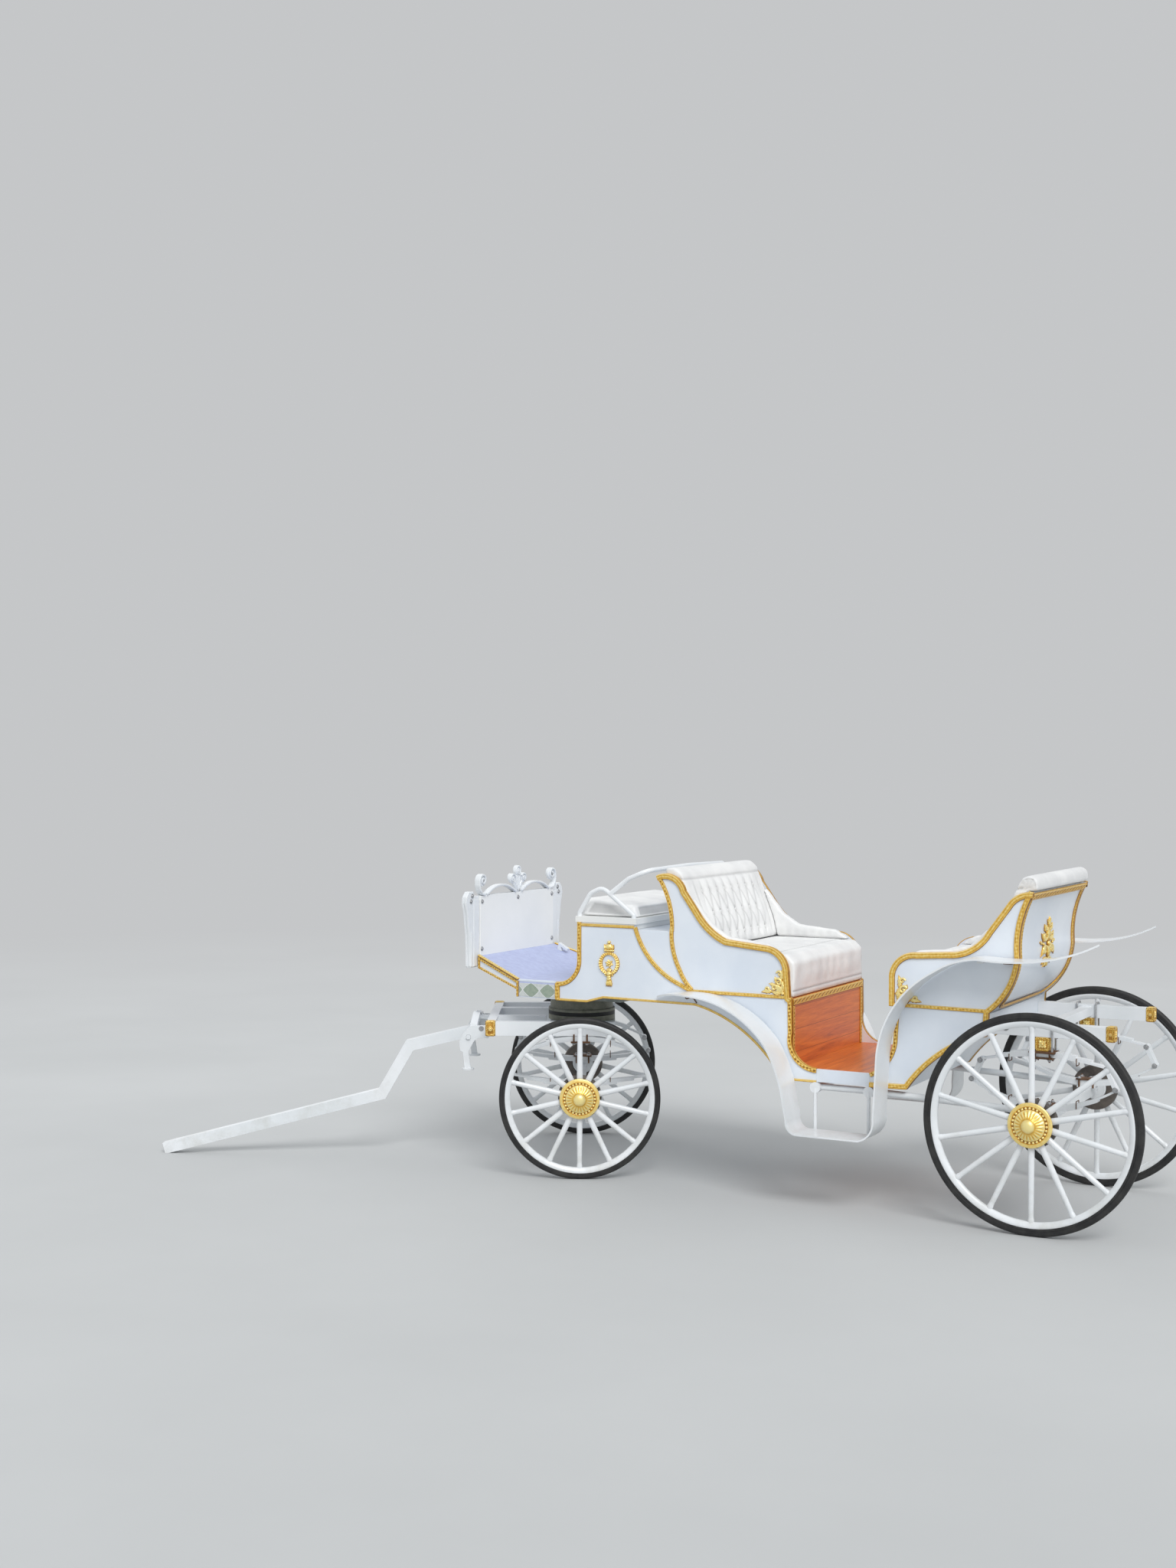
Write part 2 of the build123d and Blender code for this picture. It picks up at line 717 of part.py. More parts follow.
# Frame of the gear, as rows of u from, u to, v from, v to, z from, z to
bar_in = gear_bar_v - gear_bar_width / 2
bar_out = gear_bar_v + gear_bar_width / 2
cross_u = 115.0
cross_bottom = gear_bar_bottom - 8
cross_end = gear_bar_v - gear_bar_width / 2 - 3
gear_front = gear_bar_front + gear_cross_depth
inner_in = gear_inner_v - gear_bar_width / 2
inner_out = gear_inner_v + gear_bar_width / 2
gear_bars = [
    (gear_bar_front, gear_front, -cross_end, cross_end, gear_bar_bottom, gear_bar_top),
    (cross_u, cross_u + 50, -bar_in, bar_in, cross_bottom, ring_bottom),
    (-gear_bar_rear, 50 - gear_bar_rear, -bar_in, bar_in, cross_bottom, ring_bottom),
    (50 - gear_bar_rear, cross_u, -45, 45, cross_bottom, ring_bottom),
]
for low, high in ((bar_in, bar_out), (-bar_out, -bar_in)):
    gear_bars.append((-gear_bar_rear, gear_bar_front, low, high, gear_bar_bottom, gear_bar_top))
for low, high in ((inner_in, inner_out), (-inner_out, -inner_in)):
    gear_bars.append((-gear_bar_rear, gear_bar_front, low, high, gear_bar_bottom, ring_bottom))
    gear_bars.append((ring_r + 6, gear_bar_front, low, high, gear_bar_bottom, gear_bar_top))
with BuildPart() as gear:
    for u0, u1, v0, v1, z0, z1 in gear_bars:
        with BuildSketch(gear_plan(z0)):
            with Locations(((u0 + u1) / 2, (v0 + v1) / 2)):
                Rectangle(u1 - u0, v1 - v0)
        extrude(amount=z1 - z0)
    with BuildSketch(gear_plan(cross_bottom)):
        Circle(kingpin_r + pin_gap)
    extrude(amount=gear_bar_height, mode=Mode.SUBTRACT)
finish(gear, "gear_frame")
with BuildPart() as gear_caps:
    for v in (gear_bar_v, -gear_bar_v):
        with BuildSketch(gear_plan(gear_bar_bottom - 3)):
            with Locations((gear_bar_front + gear_cap_length / 2, v)):
                Rectangle(gear_cap_length, gear_bar_width + 6)
        extrude(amount=gear_bar_height + 6)
finish(gear_caps, "gear_bar_caps")

# Hitch: two plates on feet, and a middle lug with two arms that hold them apart
foot_pad_r = 32.0
foot_pad_z = 495.0
hitch_top = 728.0
lug_top = 777.0
lug_half = 20.0
arm_from = 545.0
arm_to = 583.0
with BuildPart() as hitch:
    for v in (hitch_v, -hitch_v):
        with BuildSketch(gear_side(v)):
            Polygon((gear_front, hitch_top), (arm_to, hitch_top), (616, 692), (641, 642), (634, 592),
                    (622, 590), (611, foot_pad_z), (577, foot_pad_z), (592, 590), (562, 646),
                    (540, 662), (gear_front, 662), align=None)
            with Locations(pole_pivot):
                Circle(pole_pin_r + pin_gap, mode=Mode.SUBTRACT)
        extrude(amount=hitch_plate / 2, both=True)
        with BuildSketch(gear_plan(foot_pad_z)):
            with Locations((594, v)):
                Circle(foot_pad_r)
        extrude(amount=10)
    with BuildSketch(gear_side()):
        Polygon((gear_front, hitch_top), (gear_front, 752), (533, 752), (537, lug_top - 11),
                (548, lug_top), (566, lug_top), (577, lug_top - 11), (581, 752), (581, 735),
                (arm_from, 735), align=None)
    extrude(amount=lug_half, both=True)
    with BuildSketch(gear_across(arm_from)):
        Polygon((-hitch_v, 738), (-hitch_v, 704), (-lug_half, 735), (lug_half, 735),
                (hitch_v, 704), (hitch_v, 738), (lug_half, lug_top - 6), (-lug_half, lug_top - 6),
                align=None)
    extrude(amount=arm_to - arm_from)
finish(hitch, "hitch_brackets")

# Pole: a cranked square tube on a cross-tube, with a pin through each bracket
cross_half = hitch_v - hitch_plate / 2 - pin_gap
with BuildPart() as pole:
    with BuildSketch(gear_side()):
        Polygon(*bar_outline([pole_pivot, pole_knee, pole_heel, (pole_tip_reach, pole_tip_z)],
                             pole_size / 2), align=None)
    extrude(amount=pole_size / 2, both=True)
    with BuildSketch(gear_side()):
        with Locations(pole_pivot):
            Circle(26)
    extrude(amount=cross_half, both=True)
    with BuildSketch(gear_side()):
        with Locations(pole_pivot):
            Circle(pole_pin_r)
    extrude(amount=hitch_v + hitch_plate / 2 + 10, both=True)
    split(bisect_by=Plane.XY, keep=Keep.TOP)
finish(pole, "pole")

# Wheels: (name, side view at the wheel, outer radius, half track, hand); hand 1 is left
wheel_rows = [(f"{end}_{hand}", plane, radius, track / 2, way)
              for end, plane, radius, track in (
                  ("front", gear_side, front_wheel_r, front_track),
                  ("rear", side, rear_wheel_r, rear_track))
              for hand, way in (("left", 1), ("right", -1))]
spoke_taper = 0.5
cap_edge = 6.0
cap_ring_r = cap_r * 0.70
cap_ring_height = 14.0
dome_r = cap_r * 0.33
tyre_curve = tyre_round * sin(radians(45))
for name, plane, radius, half_track, way in wheel_rows:
    tyre_in = radius * (1 - tyre_part)
    rim_in = tyre_in - rim_depth
    face = plane(way * half_track)
    centre = face.origin + face.y_dir * radius
    outward = face.z_dir * -way
    turning = Plane(origin=centre, x_dir=face.y_dir, z_dir=face.y_dir.cross(outward))
    hub_axis = Axis(centre, outward)
    shoulder = radius - tyre_round
    wall = tyre_width / 2
    with BuildPart() as tyre:
        with BuildSketch(turning):
            with BuildLine():
                trace_outline((tyre_in, -wall), [
                    (None, (shoulder, -wall)),
                    ((shoulder + tyre_curve, tyre_round - wall - tyre_curve),
                     (radius, tyre_round - wall)),
                    (None, (radius, wall - tyre_round)),
                    ((shoulder + tyre_curve, wall - tyre_round + tyre_curve),
                     (shoulder, wall)),
                    (None, (tyre_in, wall)),
                    (None, (tyre_in, -wall)),
                ])
            make_face()
        revolve(axis=hub_axis)
    finish(tyre, f"tyre_{name}")

    with BuildPart() as wheel:
        with BuildSketch(turning):
            Polygon((rim_in, -rim_width / 3), (tyre_in - 8, -rim_width / 2),
                    (tyre_in, -rim_width / 2), (tyre_in, rim_width / 2),
                    (tyre_in - 8, rim_width / 2), (rim_in, rim_width / 3), align=None)
            Polygon((spindle_r + spindle_gap, -hub_inner), (hub_r, -hub_inner),
                    (hub_r, hub_outer), (spindle_r + spindle_gap, hub_outer), align=None)
            Polygon((hub_r - 1, 4 - hub_inner), (drum_r, 4 - hub_inner),
                    (drum_r, 4 - hub_inner + drum_width),
                    (hub_r - 1, 4 - hub_inner + drum_width), align=None)
        revolve(axis=hub_axis)
        for number in range(spoke_count):
            turn = radians(360 * number / spoke_count)
            along = face.y_dir * -cos(turn) + face.x_dir * sin(turn)
            with BuildSketch(Plane(origin=centre + along * (hub_r - 3), z_dir=along)):
                Circle(spoke_r + 2)
            extrude(amount=rim_in - hub_r + 6, taper=spoke_taper)
    finish(wheel, f"wheel_{name}")

    with BuildPart() as cap:
        with BuildSketch(turning):
            with BuildLine():
                trace_outline((0, hub_outer), [
                    (None, (cap_r, hub_outer)),
                    (None, (cap_r, hub_outer + cap_edge)),
                    (None, (cap_ring_r, hub_outer + cap_ring_height)),
                    (None, (dome_r, hub_outer + cap_height - dome_r)),
                    ((dome_r * cos(radians(45)),
                      hub_outer + cap_height - dome_r * (1 - sin(radians(45)))),
                     (0, hub_outer + cap_height)),
                    (None, (0, hub_outer)),
                ])
            make_face()
        revolve(axis=hub_axis)
    finish(cap, f"hub_cap_{name}")

# Cushions and pads, plain closed shapes of their true size
pad_half = inner - soft_gap
front_pads = {
    "front_seat_cushion": [(1197, seat_line + soft_gap), (1736, seat_line + soft_gap),
                           (1694, seat_top_z), (1242, seat_top_z), (1197, 1148)],
    "front_back_cushion": [(1668, seat_top_z + soft_gap), (1692, arm_z + 64),
                           (1800, back_top_z + 12), (1836, back_top_z + 44),
                           (1892, back_top_z + 42), (1896, back_top_z - 2),
                           (1834, front_back_mid - 1), (1820, deck_z),
                           (1812, seat_top_z + soft_gap)],
}
rear_pads = {
    "rear_seat_cushion": [(692, seat_line + soft_gap), (692, 1150), (652, seat_top_z + 5),
                          (214, seat_top_z + 5), (264, seat_line + soft_gap)],
    "rear_back_cushion": [(232, seat_top_z + 6), (196, arm_z + 104), (112, back_top_z + 8),
                          (88, back_top_z + 48), (52, back_top_z + 61), (26, back_top_z + 51),
                          (14, back_top_z + 26), (14, back_top_z - 6),
                          (22, back_top_z - 13), (64, back_top_z - 12),
                          (116, rear_back_mid + 3), (126, rear_back_low),
                          (140, seat_top_z + 6)],
}
for name, outline in {**front_pads, **rear_pads}.items():
    with BuildPart() as cushion:
        with BuildSketch(side()):
            Polygon(*outline, align=None)
        extrude(amount=pad_half, both=True)
    finish(cushion, name)
arm_rows = {
    "front_arm_pads": [(1262, seat_top_z + 1), (1340, arm_z + 10), (1551, arm_z + 31),
                       (1636, arm_z + 86), (1694, arm_z + 156), (1738, arm_z + 212),
                       (1750, arm_z + 212), (1691, arm_z + 65), (1667, seat_top_z + 1)],
    "rear_arm_pads": [(655, seat_top_z + 7), (577, arm_z + 15), (423, arm_z + 25),
                      (326, arm_z + 52), (250, arm_z + 126), (190, arm_z + 126),
                      (198, arm_z + 105), (234, seat_top_z + 7)],
}
for name, outline in arm_rows.items():
    with BuildPart() as arms:
        for y in (pad_half, pad - pad_half):
            with BuildSketch(side(y)):
                Polygon(*outline, align=None)
            extrude(amount=pad)
    finish(arms, name)
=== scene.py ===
"""Looks of an open four-wheeled carriage: paint, gilt mouldings, leather, wheels and springs.

Lengths are in metres. On the body, x runs forward from the rear axle, y to the left and z up.
On the steered gear, points run forward, left and up from the kingpin. A patch is a pair of
(points, list of face arrays), and a piece is made of one or more patches.
"""
import bmesh
import bpy
import json
import math
import numpy as np
from contextlib import contextmanager
from mathutils import Matrix, Vector

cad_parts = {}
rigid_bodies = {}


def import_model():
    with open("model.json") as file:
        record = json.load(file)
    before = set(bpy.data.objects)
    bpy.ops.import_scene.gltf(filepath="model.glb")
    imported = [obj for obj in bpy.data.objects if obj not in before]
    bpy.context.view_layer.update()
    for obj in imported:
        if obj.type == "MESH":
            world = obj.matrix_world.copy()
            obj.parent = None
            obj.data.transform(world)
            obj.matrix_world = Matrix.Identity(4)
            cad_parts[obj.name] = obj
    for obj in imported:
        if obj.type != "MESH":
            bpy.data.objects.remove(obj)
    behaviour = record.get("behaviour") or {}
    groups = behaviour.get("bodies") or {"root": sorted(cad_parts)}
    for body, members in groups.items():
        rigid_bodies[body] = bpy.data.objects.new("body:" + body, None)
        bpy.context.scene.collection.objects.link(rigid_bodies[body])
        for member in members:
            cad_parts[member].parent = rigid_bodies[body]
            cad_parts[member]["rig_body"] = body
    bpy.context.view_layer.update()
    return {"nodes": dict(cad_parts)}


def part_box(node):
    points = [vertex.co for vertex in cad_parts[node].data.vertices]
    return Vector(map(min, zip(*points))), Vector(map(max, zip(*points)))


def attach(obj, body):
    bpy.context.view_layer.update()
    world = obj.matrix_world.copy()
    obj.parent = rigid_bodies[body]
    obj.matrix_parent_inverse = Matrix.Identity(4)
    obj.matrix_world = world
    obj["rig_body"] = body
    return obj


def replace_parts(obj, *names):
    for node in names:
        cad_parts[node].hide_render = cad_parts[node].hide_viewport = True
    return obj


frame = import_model()

UP = np.array([0.0, 0.0, 1.0])


def middle(node):
    """Middle of a CAD node's box."""
    low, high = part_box(node)
    return (np.array(low) + np.array(high)) / 2


rear_left, rear_right = middle("tyre_rear_left"), middle("tyre_rear_right")
front_left, front_right = middle("tyre_front_left"), middle("tyre_front_right")
axle_point = (rear_left + rear_right) / 2 * [1, 1, 0]
pin_point = (front_left + front_right) / 2 * [1, 1, 0]
gear_left = (front_left - front_right) / np.linalg.norm(front_left - front_right)
gear_ahead = np.cross(gear_left, UP)
REAR_R, FRONT_R = rear_left[2], front_left[2]


def on_body(points):
    """Places points given from the rear axle."""
    return points + axle_point


def on_gear(points):
    """Places points given from the kingpin along the turned gear."""
    return pin_point + points[..., :1] * gear_ahead + points[..., 1:2] * gear_left + points[..., 2:] * UP


# Materials


def add_node(tree, kind, fed, **settings):
    """A new shader node. After its settings, each input named or numbered in fed gets another
    node's output, a number, a vector or a colour, or is left alone where that is None."""
    node = tree.nodes.new("ShaderNode" + kind)
    for key, value in settings.items():
        setattr(node, key, value)
    for key, value in fed.items():
        socket = node.inputs[key]
        if hasattr(value, "links"):
            tree.links.new(value, socket)
        elif value is not None:
            socket.default_value = (*value, 1) if socket.type == "RGBA" else value
    return node


class Finish:
    """A material under work: its shader and short ways to add patterns to it."""

    def __init__(self, name, roughness, metallic=0.0, coat=0.0, coat_roughness=0.05):
        self.material = bpy.data.materials.new(name)
        self.material.use_nodes = True
        self.tree = self.material.node_tree
        self.shader = self.tree.nodes["Principled BSDF"]
        for key, value in (("Roughness", roughness), ("Metallic", metallic), ("Coat Weight", coat),
                           ("Coat Roughness", coat_roughness)):
            self.shader.inputs[key].default_value = value
        self.place = self.add("TexCoord", {}).outputs["Object"]

    def add(self, kind, fed, **settings):
        return add_node(self.tree, kind, fed, **settings)

    def feed(self, source, name):
        """Links a source to an input of the material's shader."""
        self.tree.links.new(source, self.shader.inputs[name])

    def stretched(self, scale):
        """Object coordinates scaled by axis."""
        return self.add("Mapping", {"Scale": scale, "Vector": self.place}).outputs["Vector"]

    def noise(self, scale, detail=4.0, roughness=0.55, at=None, distortion=0.0):
        fed = {"Scale": scale, "Detail": detail, "Roughness": roughness, "Distortion": distortion}
        return self.add("TexNoise", {**fed, "Vector": at or self.place}).outputs["Fac"]

    def cells(self, scale):
        return self.add("TexVoronoi", {"Scale": scale, "Vector": self.place}).outputs["Distance"]

    def attribute(self, name):
        return self.add("Attribute", {}, attribute_name=name).outputs["Fac"]

    def axis(self, name):
        return self.add("SeparateXYZ", {0: self.place}).outputs[name]

    def math(self, operation, a, b=0.0, c=None):
        return self.add("Math", {0: a, 1: b, 2: c}, operation=operation).outputs[0]

    def ramp(self, factor, *stops):
        """Colours along a factor, as (place, colour)."""
        node = self.add("ValToRGB", {0: factor})
        points = node.color_ramp.elements
        while len(points) < len(stops):
            points.new(0.5)
        for point, (at, colour) in zip(points, stops):
            point.position = at
            point.color = (*colour, 1) if hasattr(colour, "__len__") else (colour,) * 3 + (1,)
        return node.outputs[0]

    def mix(self, factor, a, b, blend="MIX"):
        return self.add("Mix", {0: factor, 6: a, 7: b}, data_type="RGBA", blend_type=blend).outputs[2]

    def color(self, source):
        self.feed(source, "Base Color")

    def rough(self, source, low, high):
        """Roughness from low to high along a source."""
        node = self.add("MapRange", {"To Min": low, "To Max": high, "Value": source})
        self.feed(node.outputs[0], "Roughness")

    def bump(self, *layers):
        """Bump from layers of (height, depth in metres, strength)."""
        normal = None
        for height, distance, strength in layers:
            fed = {"Distance": distance, "Strength": strength, "Height": height, "Normal": normal}
            normal = self.add("Bump", fed).outputs[0]
        self.feed(normal, "Normal")


def enamel(name, pale, deep):
    """Gloss paint with a faint orange peel, uneven tone and dust low down."""
    dust_top, dust_colour = 0.75, (0.42, 0.41, 0.35)
    f = Finish(name, 0.3, coat=0.3, coat_roughness=0.16)
    tone = f.ramp(f.noise(2.3, 5), (0.35, deep), (0.65, pale))
    low = f.math("SUBTRACT", 1.0, f.math("DIVIDE", f.axis("Z"), dust_top))
    low = f.math("MAXIMUM", low, 0.0)
    dust = f.math("MULTIPLY", low, f.ramp(f.noise(9, 6, 0.7), (0.42, 0.0), (0.75, 0.55)))
    f.color(f.mix(dust, tone, dust_colour))
    f.rough(f.noise(14, 4), 0.24, 0.44)
    f.bump((f.noise(160, 2), 0.0006, 0.06), (f.noise(7, 3), 0.004, 0.1))
    return f.material


def gilding():
    """Gold paint over embossing, bright on the raised parts and brown in the hollows: painted highlights and
    painted shade, read from the relief mark.
    """
    f = Finish("gilt", 0.34, metallic=0.55, coat=0.2)
    wear = f.math("MULTIPLY_ADD", f.noise(60, 5, 0.65), 0.5, -0.25)
    # Painted light: the relief mark holds painted highlights and painted shade; the noise added to it is
    # wear.
    height = f.math("ADD", f.attribute("relief_shade"), wear)
    f.color(f.ramp(height, (0.05, (0.11, 0.04, 0.009)), (0.36, (0.46, 0.21, 0.028)),
                   (0.66, (0.88, 0.54, 0.09)), (0.95, (1.0, 0.84, 0.36))))
    f.rough(f.noise(45, 4), 0.24, 0.5)
    f.bump((f.noise(260, 3), 0.0006, 0.25))
    return f.material


def leather():
    """White upholstery leather: pebbled grain, soft wrinkles, and painted shade in its seams, folds, button
    dimples and sunk panels.
    """
    f = Finish("white_leather", 0.45, coat=0.08, coat_roughness=0.3)
    tone = f.ramp(f.noise(6, 4), (0.3, (0.74, 0.74, 0.74)), (0.6, (0.86, 0.86, 0.85)))
    # Painted shade: the crease mark darkens the leather where seams, folds and dimples lie in shade.
    seam = f.ramp(f.attribute("crease_shade"), (0.0, 1.0), (1.0, 0.42))
    f.color(f.mix(1.0, tone, seam, "MULTIPLY"))
    f.rough(f.noise(30, 4), 0.36, 0.55)
    f.bump((f.cells(420), 0.0008, 0.35), (f.noise(22, 5, 0.6, distortion=0.8), 0.005, 0.28))
    return f.material


def planks(name, along, across, width):
    """Orange varnished boards: grain stretched along them, and a seam every width across them."""
    f = Finish(name, 0.38, coat=0.15, coat_roughness=0.2)
    scale = [26.0] * 3
    scale["XYZ".index(along)] = 1.6
    grain = f.noise(1.0, 8, 0.65, at=f.stretched(scale), distortion=1.2)
    fine = f.noise(1.0, 6, 0.7, at=f.stretched([5 * s for s in scale]))
    figure = f.math("MULTIPLY_ADD", fine, 0.35, f.math("MULTIPLY", grain, 0.75))
    wood = f.ramp(figure, (0.32, (0.30, 0.065, 0.010)), (0.47, (0.58, 0.135, 0.018)),
                  (0.6, (0.72, 0.20, 0.030)), (0.78, (0.82, 0.27, 0.050)))
    place = f.math("FRACT", f.math("DIVIDE", f.axis(across), width))
    seam = f.math("LESS_THAN", f.math("ABSOLUTE", f.math("SUBTRACT", place, 0.5)), 0.012)
    f.color(f.mix(f.math("MULTIPLY", seam, 0.55), wood, (0.10, 0.02, 0.006)))
    f.rough(grain, 0.30, 0.48)
    f.bump((f.math("SUBTRACT", figure, seam), 0.0015, 0.2))
    return f.material


def plain_metal(name, pale, deep, low, high, metallic=0.0, scale=18, grit=0.2):
    """Metal or paint whose tone and roughness vary in patches, with a gritty surface."""
    f = Finish(name, (low + high) / 2, metallic)
    patches = f.noise(scale, 6, 0.65)
    f.color(f.ramp(patches, (0.32, deep), (0.66, pale)))
    f.rough(patches, low, high)
    f.bump((f.noise(scale * 14, 4), 0.0008, grit))
    return f.material


def rubber():
    """Black tyre rubber, dusty in patches."""
    f = Finish("tyre_rubber", 0.6)
    dust = f.noise(16, 6, 0.7)
    f.color(f.ramp(dust, (0.42, (0.012, 0.012, 0.013)), (0.7, (0.035, 0.034, 0.032)),
                   (0.85, (0.10, 0.095, 0.08))))
    f.rough(dust, 0.42, 0.75)
    f.bump((f.noise(220, 4), 0.0008, 0.3))
    return f.material


LATTICE_STEP = 0.100
LATTICE_SHIFT = LATTICE_STEP / 2 - (2.653 + axle_point[0]) % LATTICE_STEP


def lattice_paint():
    """Pale marbled paint with soft grey-green diamonds in white outlines. A diamond holds the
    points whose run and rise from its middle, each raised to 1.25, add up to less than a limit."""
    f = Finish("skirt_lattice", 0.35, coat=0.3)
    shifted = f.math("ADD", f.axis("X"), LATTICE_SHIFT)
    step = f.math("FRACT", f.math("DIVIDE", shifted, LATTICE_STEP))
    run = f.math("ABSOLUTE", f.math("SUBTRACT", step, 0.5))
    rise = f.math("DIVIDE", f.math("ABSOLUTE", f.math("SUBTRACT", f.axis("Z"), 0.935)), 0.078)
    reach = f.math("ADD", f.math("POWER", run, 1.25), f.math("POWER", rise, 1.25))
    marble = f.ramp(f.noise(40, 6, 0.7, distortion=0.6), (0.3, (0.50, 0.54, 0.52)),
                    (0.7, (0.68, 0.70, 0.69)))
    dark = f.ramp(f.noise(55, 5), (0.3, (0.26, 0.33, 0.26)), (0.7, (0.36, 0.42, 0.34)))
    line = f.mix(f.math("COMPARE", reach, 0.40, 0.016), marble, (0.80, 0.82, 0.82))
    f.color(f.mix(f.math("LESS_THAN", reach, 0.385), line, dark))
    f.bump((f.noise(120, 3), 0.0006, 0.2))
    return f.material


def ring_paint():
    """Dull olive paint, with a black band of painted shade where the two rings of the turntable meet."""
    f = Finish("turntable_olive", 0.5)
    paint = f.ramp(f.noise(22, 6, 0.7), (0.32, (0.150, 0.150, 0.110)), (0.66, (0.26, 0.26, 0.20)))
    off = f.math("ABSOLUTE", f.math("SUBTRACT", f.axis("Z"), 0.776))
    # Painted shade: a black band at the gap between the two rings.
    f.color(f.mix(f.math("LESS_THAN", off, 0.010), paint, (0.012, 0.012, 0.011)))
    f.rough(f.noise(30, 4), 0.35, 0.65)
    f.bump((f.noise(260, 4), 0.0008, 0.25))
    return f.material


# A look is a material and the name of a slot
WHITE = enamel("white_enamel", (0.80, 0.85, 0.91), (0.70, 0.76, 0.84)), "white_paint"
WHITE_METAL = enamel("white_running_gear", (0.84, 0.86, 0.88), (0.74, 0.77, 0.79)), "white_paint"
BOARD_WHITE = enamel("white_board", (0.86, 0.86, 0.84), (0.78, 0.79, 0.78)), "white_paint"
DASH_WHITE = enamel("white_dash", (0.93, 0.93, 0.91), (0.86, 0.87, 0.86)), "white_paint"
GILT = gilding(), "gilt"
LEATHER = leather(), "white_leather"
FLOOR_WOOD = planks("floor_planks", "Y", "X", 0.115), "floor_wood"
RISER_WOOD = planks("riser_boards", "Y", "Z", 0.11), "floor_wood"
VINYL = plain_metal("lavender_vinyl", (0.52, 0.57, 0.78), (0.42, 0.46, 0.68), 0.4, 0.65, 0.0, 30, 0.3)
MAT = VINYL, "lavender_mat"
TYRE = rubber(), "tyre_rubber"
GREY = plain_metal("grey_paint", (0.34, 0.36, 0.34), (0.20, 0.22, 0.20), 0.4, 0.65), "grey_steel"
IRON = plain_metal("brake_iron", (0.17, 0.145, 0.125), (0.07, 0.060, 0.053), 0.45, 0.75, 0.2), "black_steel"
RUSTY = plain_metal("rusty_clamps", (0.24, 0.12, 0.06), (0.07, 0.04, 0.025), 0.6, 0.85, 0.3, 40, 0.5)
RUST = RUSTY, "black_steel"
ZINC = plain_metal("zinc_bolts", (0.55, 0.56, 0.57), (0.35, 0.35, 0.36), 0.3, 0.5, 0.8, 60), "grey_steel"
LATTICE = lattice_paint(), "white_paint"
OLIVE = ring_paint(), "black_steel"

# Shapes


def grid(points, ends=(), closed=False):
    """Faces over rows of points, each row a ring: closed joins the last row to the first, and a
    row named in ends (0 or -1) is closed by a fan to its middle."""
    rows, columns = points.shape[:2]
    number = np.arange(rows * columns).reshape(rows, columns)
    if closed:
        number = np.vstack([number, number[:1]])
    number = np.hstack([number, number[:, :1]])
    corners = number[:-1, :-1], number[1:, :-1], number[1:, 1:], number[:-1, 1:]
    faces = [np.stack(corners, -1).reshape(-1, 4)]
    flat = points.reshape(-1, points.shape[-1])
    for row in ends:
        edge = number[row]
        fan = np.stack([edge[:-1], edge[1:], np.full(len(edge) - 1, len(flat))], -1)
        flat = np.vstack([flat, points[row].mean(0)])
        faces.append(fan)
    return flat, faces


def circle(count):
    """Even angles round a circle."""
    return np.linspace(0, 2 * np.pi, count, endpoint=False)


def unit(vectors):
    """Rows of vectors brought to length 1."""
    return vectors / np.linalg.norm(vectors, axis=1)[:, None]


def run_of(path):
    """Distances of a path's points along it."""
    return np.concatenate([[0], np.cumsum(np.linalg.norm(np.diff(path, axis=0), axis=1))])


def turned(profile, steps):
    """A closed profile of (radius, along) turned about the Y axis: (r cos a, along, r sin a)."""
    angle = circle(steps)
    r, along = np.array(profile, float).T[:, :, None]
    points = np.stack([r * np.cos(angle), along + 0 * angle, r * np.sin(angle)], -1)
    return grid(points, closed=True)


def spread(path, step):
    """Even points every step or so along a polyline, and their lengths along it."""
    path = np.array(path, float)
    at = run_of(path)
    count = max(2, int(round(at[-1] / step)) + 1)
    where = np.linspace(0, at[-1], count)
    return np.stack([np.interp(where, at, column) for column in path.T], -1), where


def arc(start, via, end, count=24):
    """Points of the circle's arc from start through via to end, in the plane."""
    a, b, c = (np.array(p, float) for p in (start, via, end))
    d = 2 * ((b - a)[0] * (c - a)[1] - (b - a)[1] * (c - a)[0])
    bb, cc = (b - a) @ (b - a), (c - a) @ (c - a)
    centre = a + np.array([bb * (c - a)[1] - cc * (b - a)[1], cc * (b - a)[0] - bb * (c - a)[0]]) / d
    first = math.atan2(*(a - centre)[::-1])
    last = math.atan2(*(c - centre)[::-1])
    turn = (last - first) % (2 * math.pi)
    if d < 0:
        turn -= 2 * math.pi
    angle = first + np.linspace(0, turn, count)
    return centre + np.linalg.norm(a - centre) * np.stack([np.cos(angle), np.sin(angle)], -1)


def outline(start, *rows):
    """A side-view line from start. A row of two numbers ends a straight piece, and a row of four
    holds a point on the way of an arc and its end."""
    points = [np.array([start], float)]
    for row in rows:
        points.append(np.array([row], float) if len(row) == 2 else arc(points[-1][-1], row[:2], row[2:])[1:])
    return np.concatenate(points)


def tangents(path):
    """Unit directions along a path of points."""
    return unit(np.gradient(path, axis=0))


def tube(path, radius, sides, flat=None):
    """A round bar along a path: circles of the given radius, square to it. flat is a pair of a
    direction and the thickness over the width, for an oval bar."""
    guide, thin = flat or ((0.31, 0.23, 0.92), 1.0)
    path = np.array(path, float)
    along = tangents(path)
    one = unit(np.cross(along, np.array(guide, float)))
    two = np.cross(one, along)
    angle = circle(sides)
    r = np.broadcast_to(radius, len(path))[:, None, None]
    ring = np.cos(angle)[None, :, None] * one[:, None] + thin * np.sin(angle)[None, :, None] * two[:, None]
    return grid(path[:, None] + r * ring, ends=(0, -1))


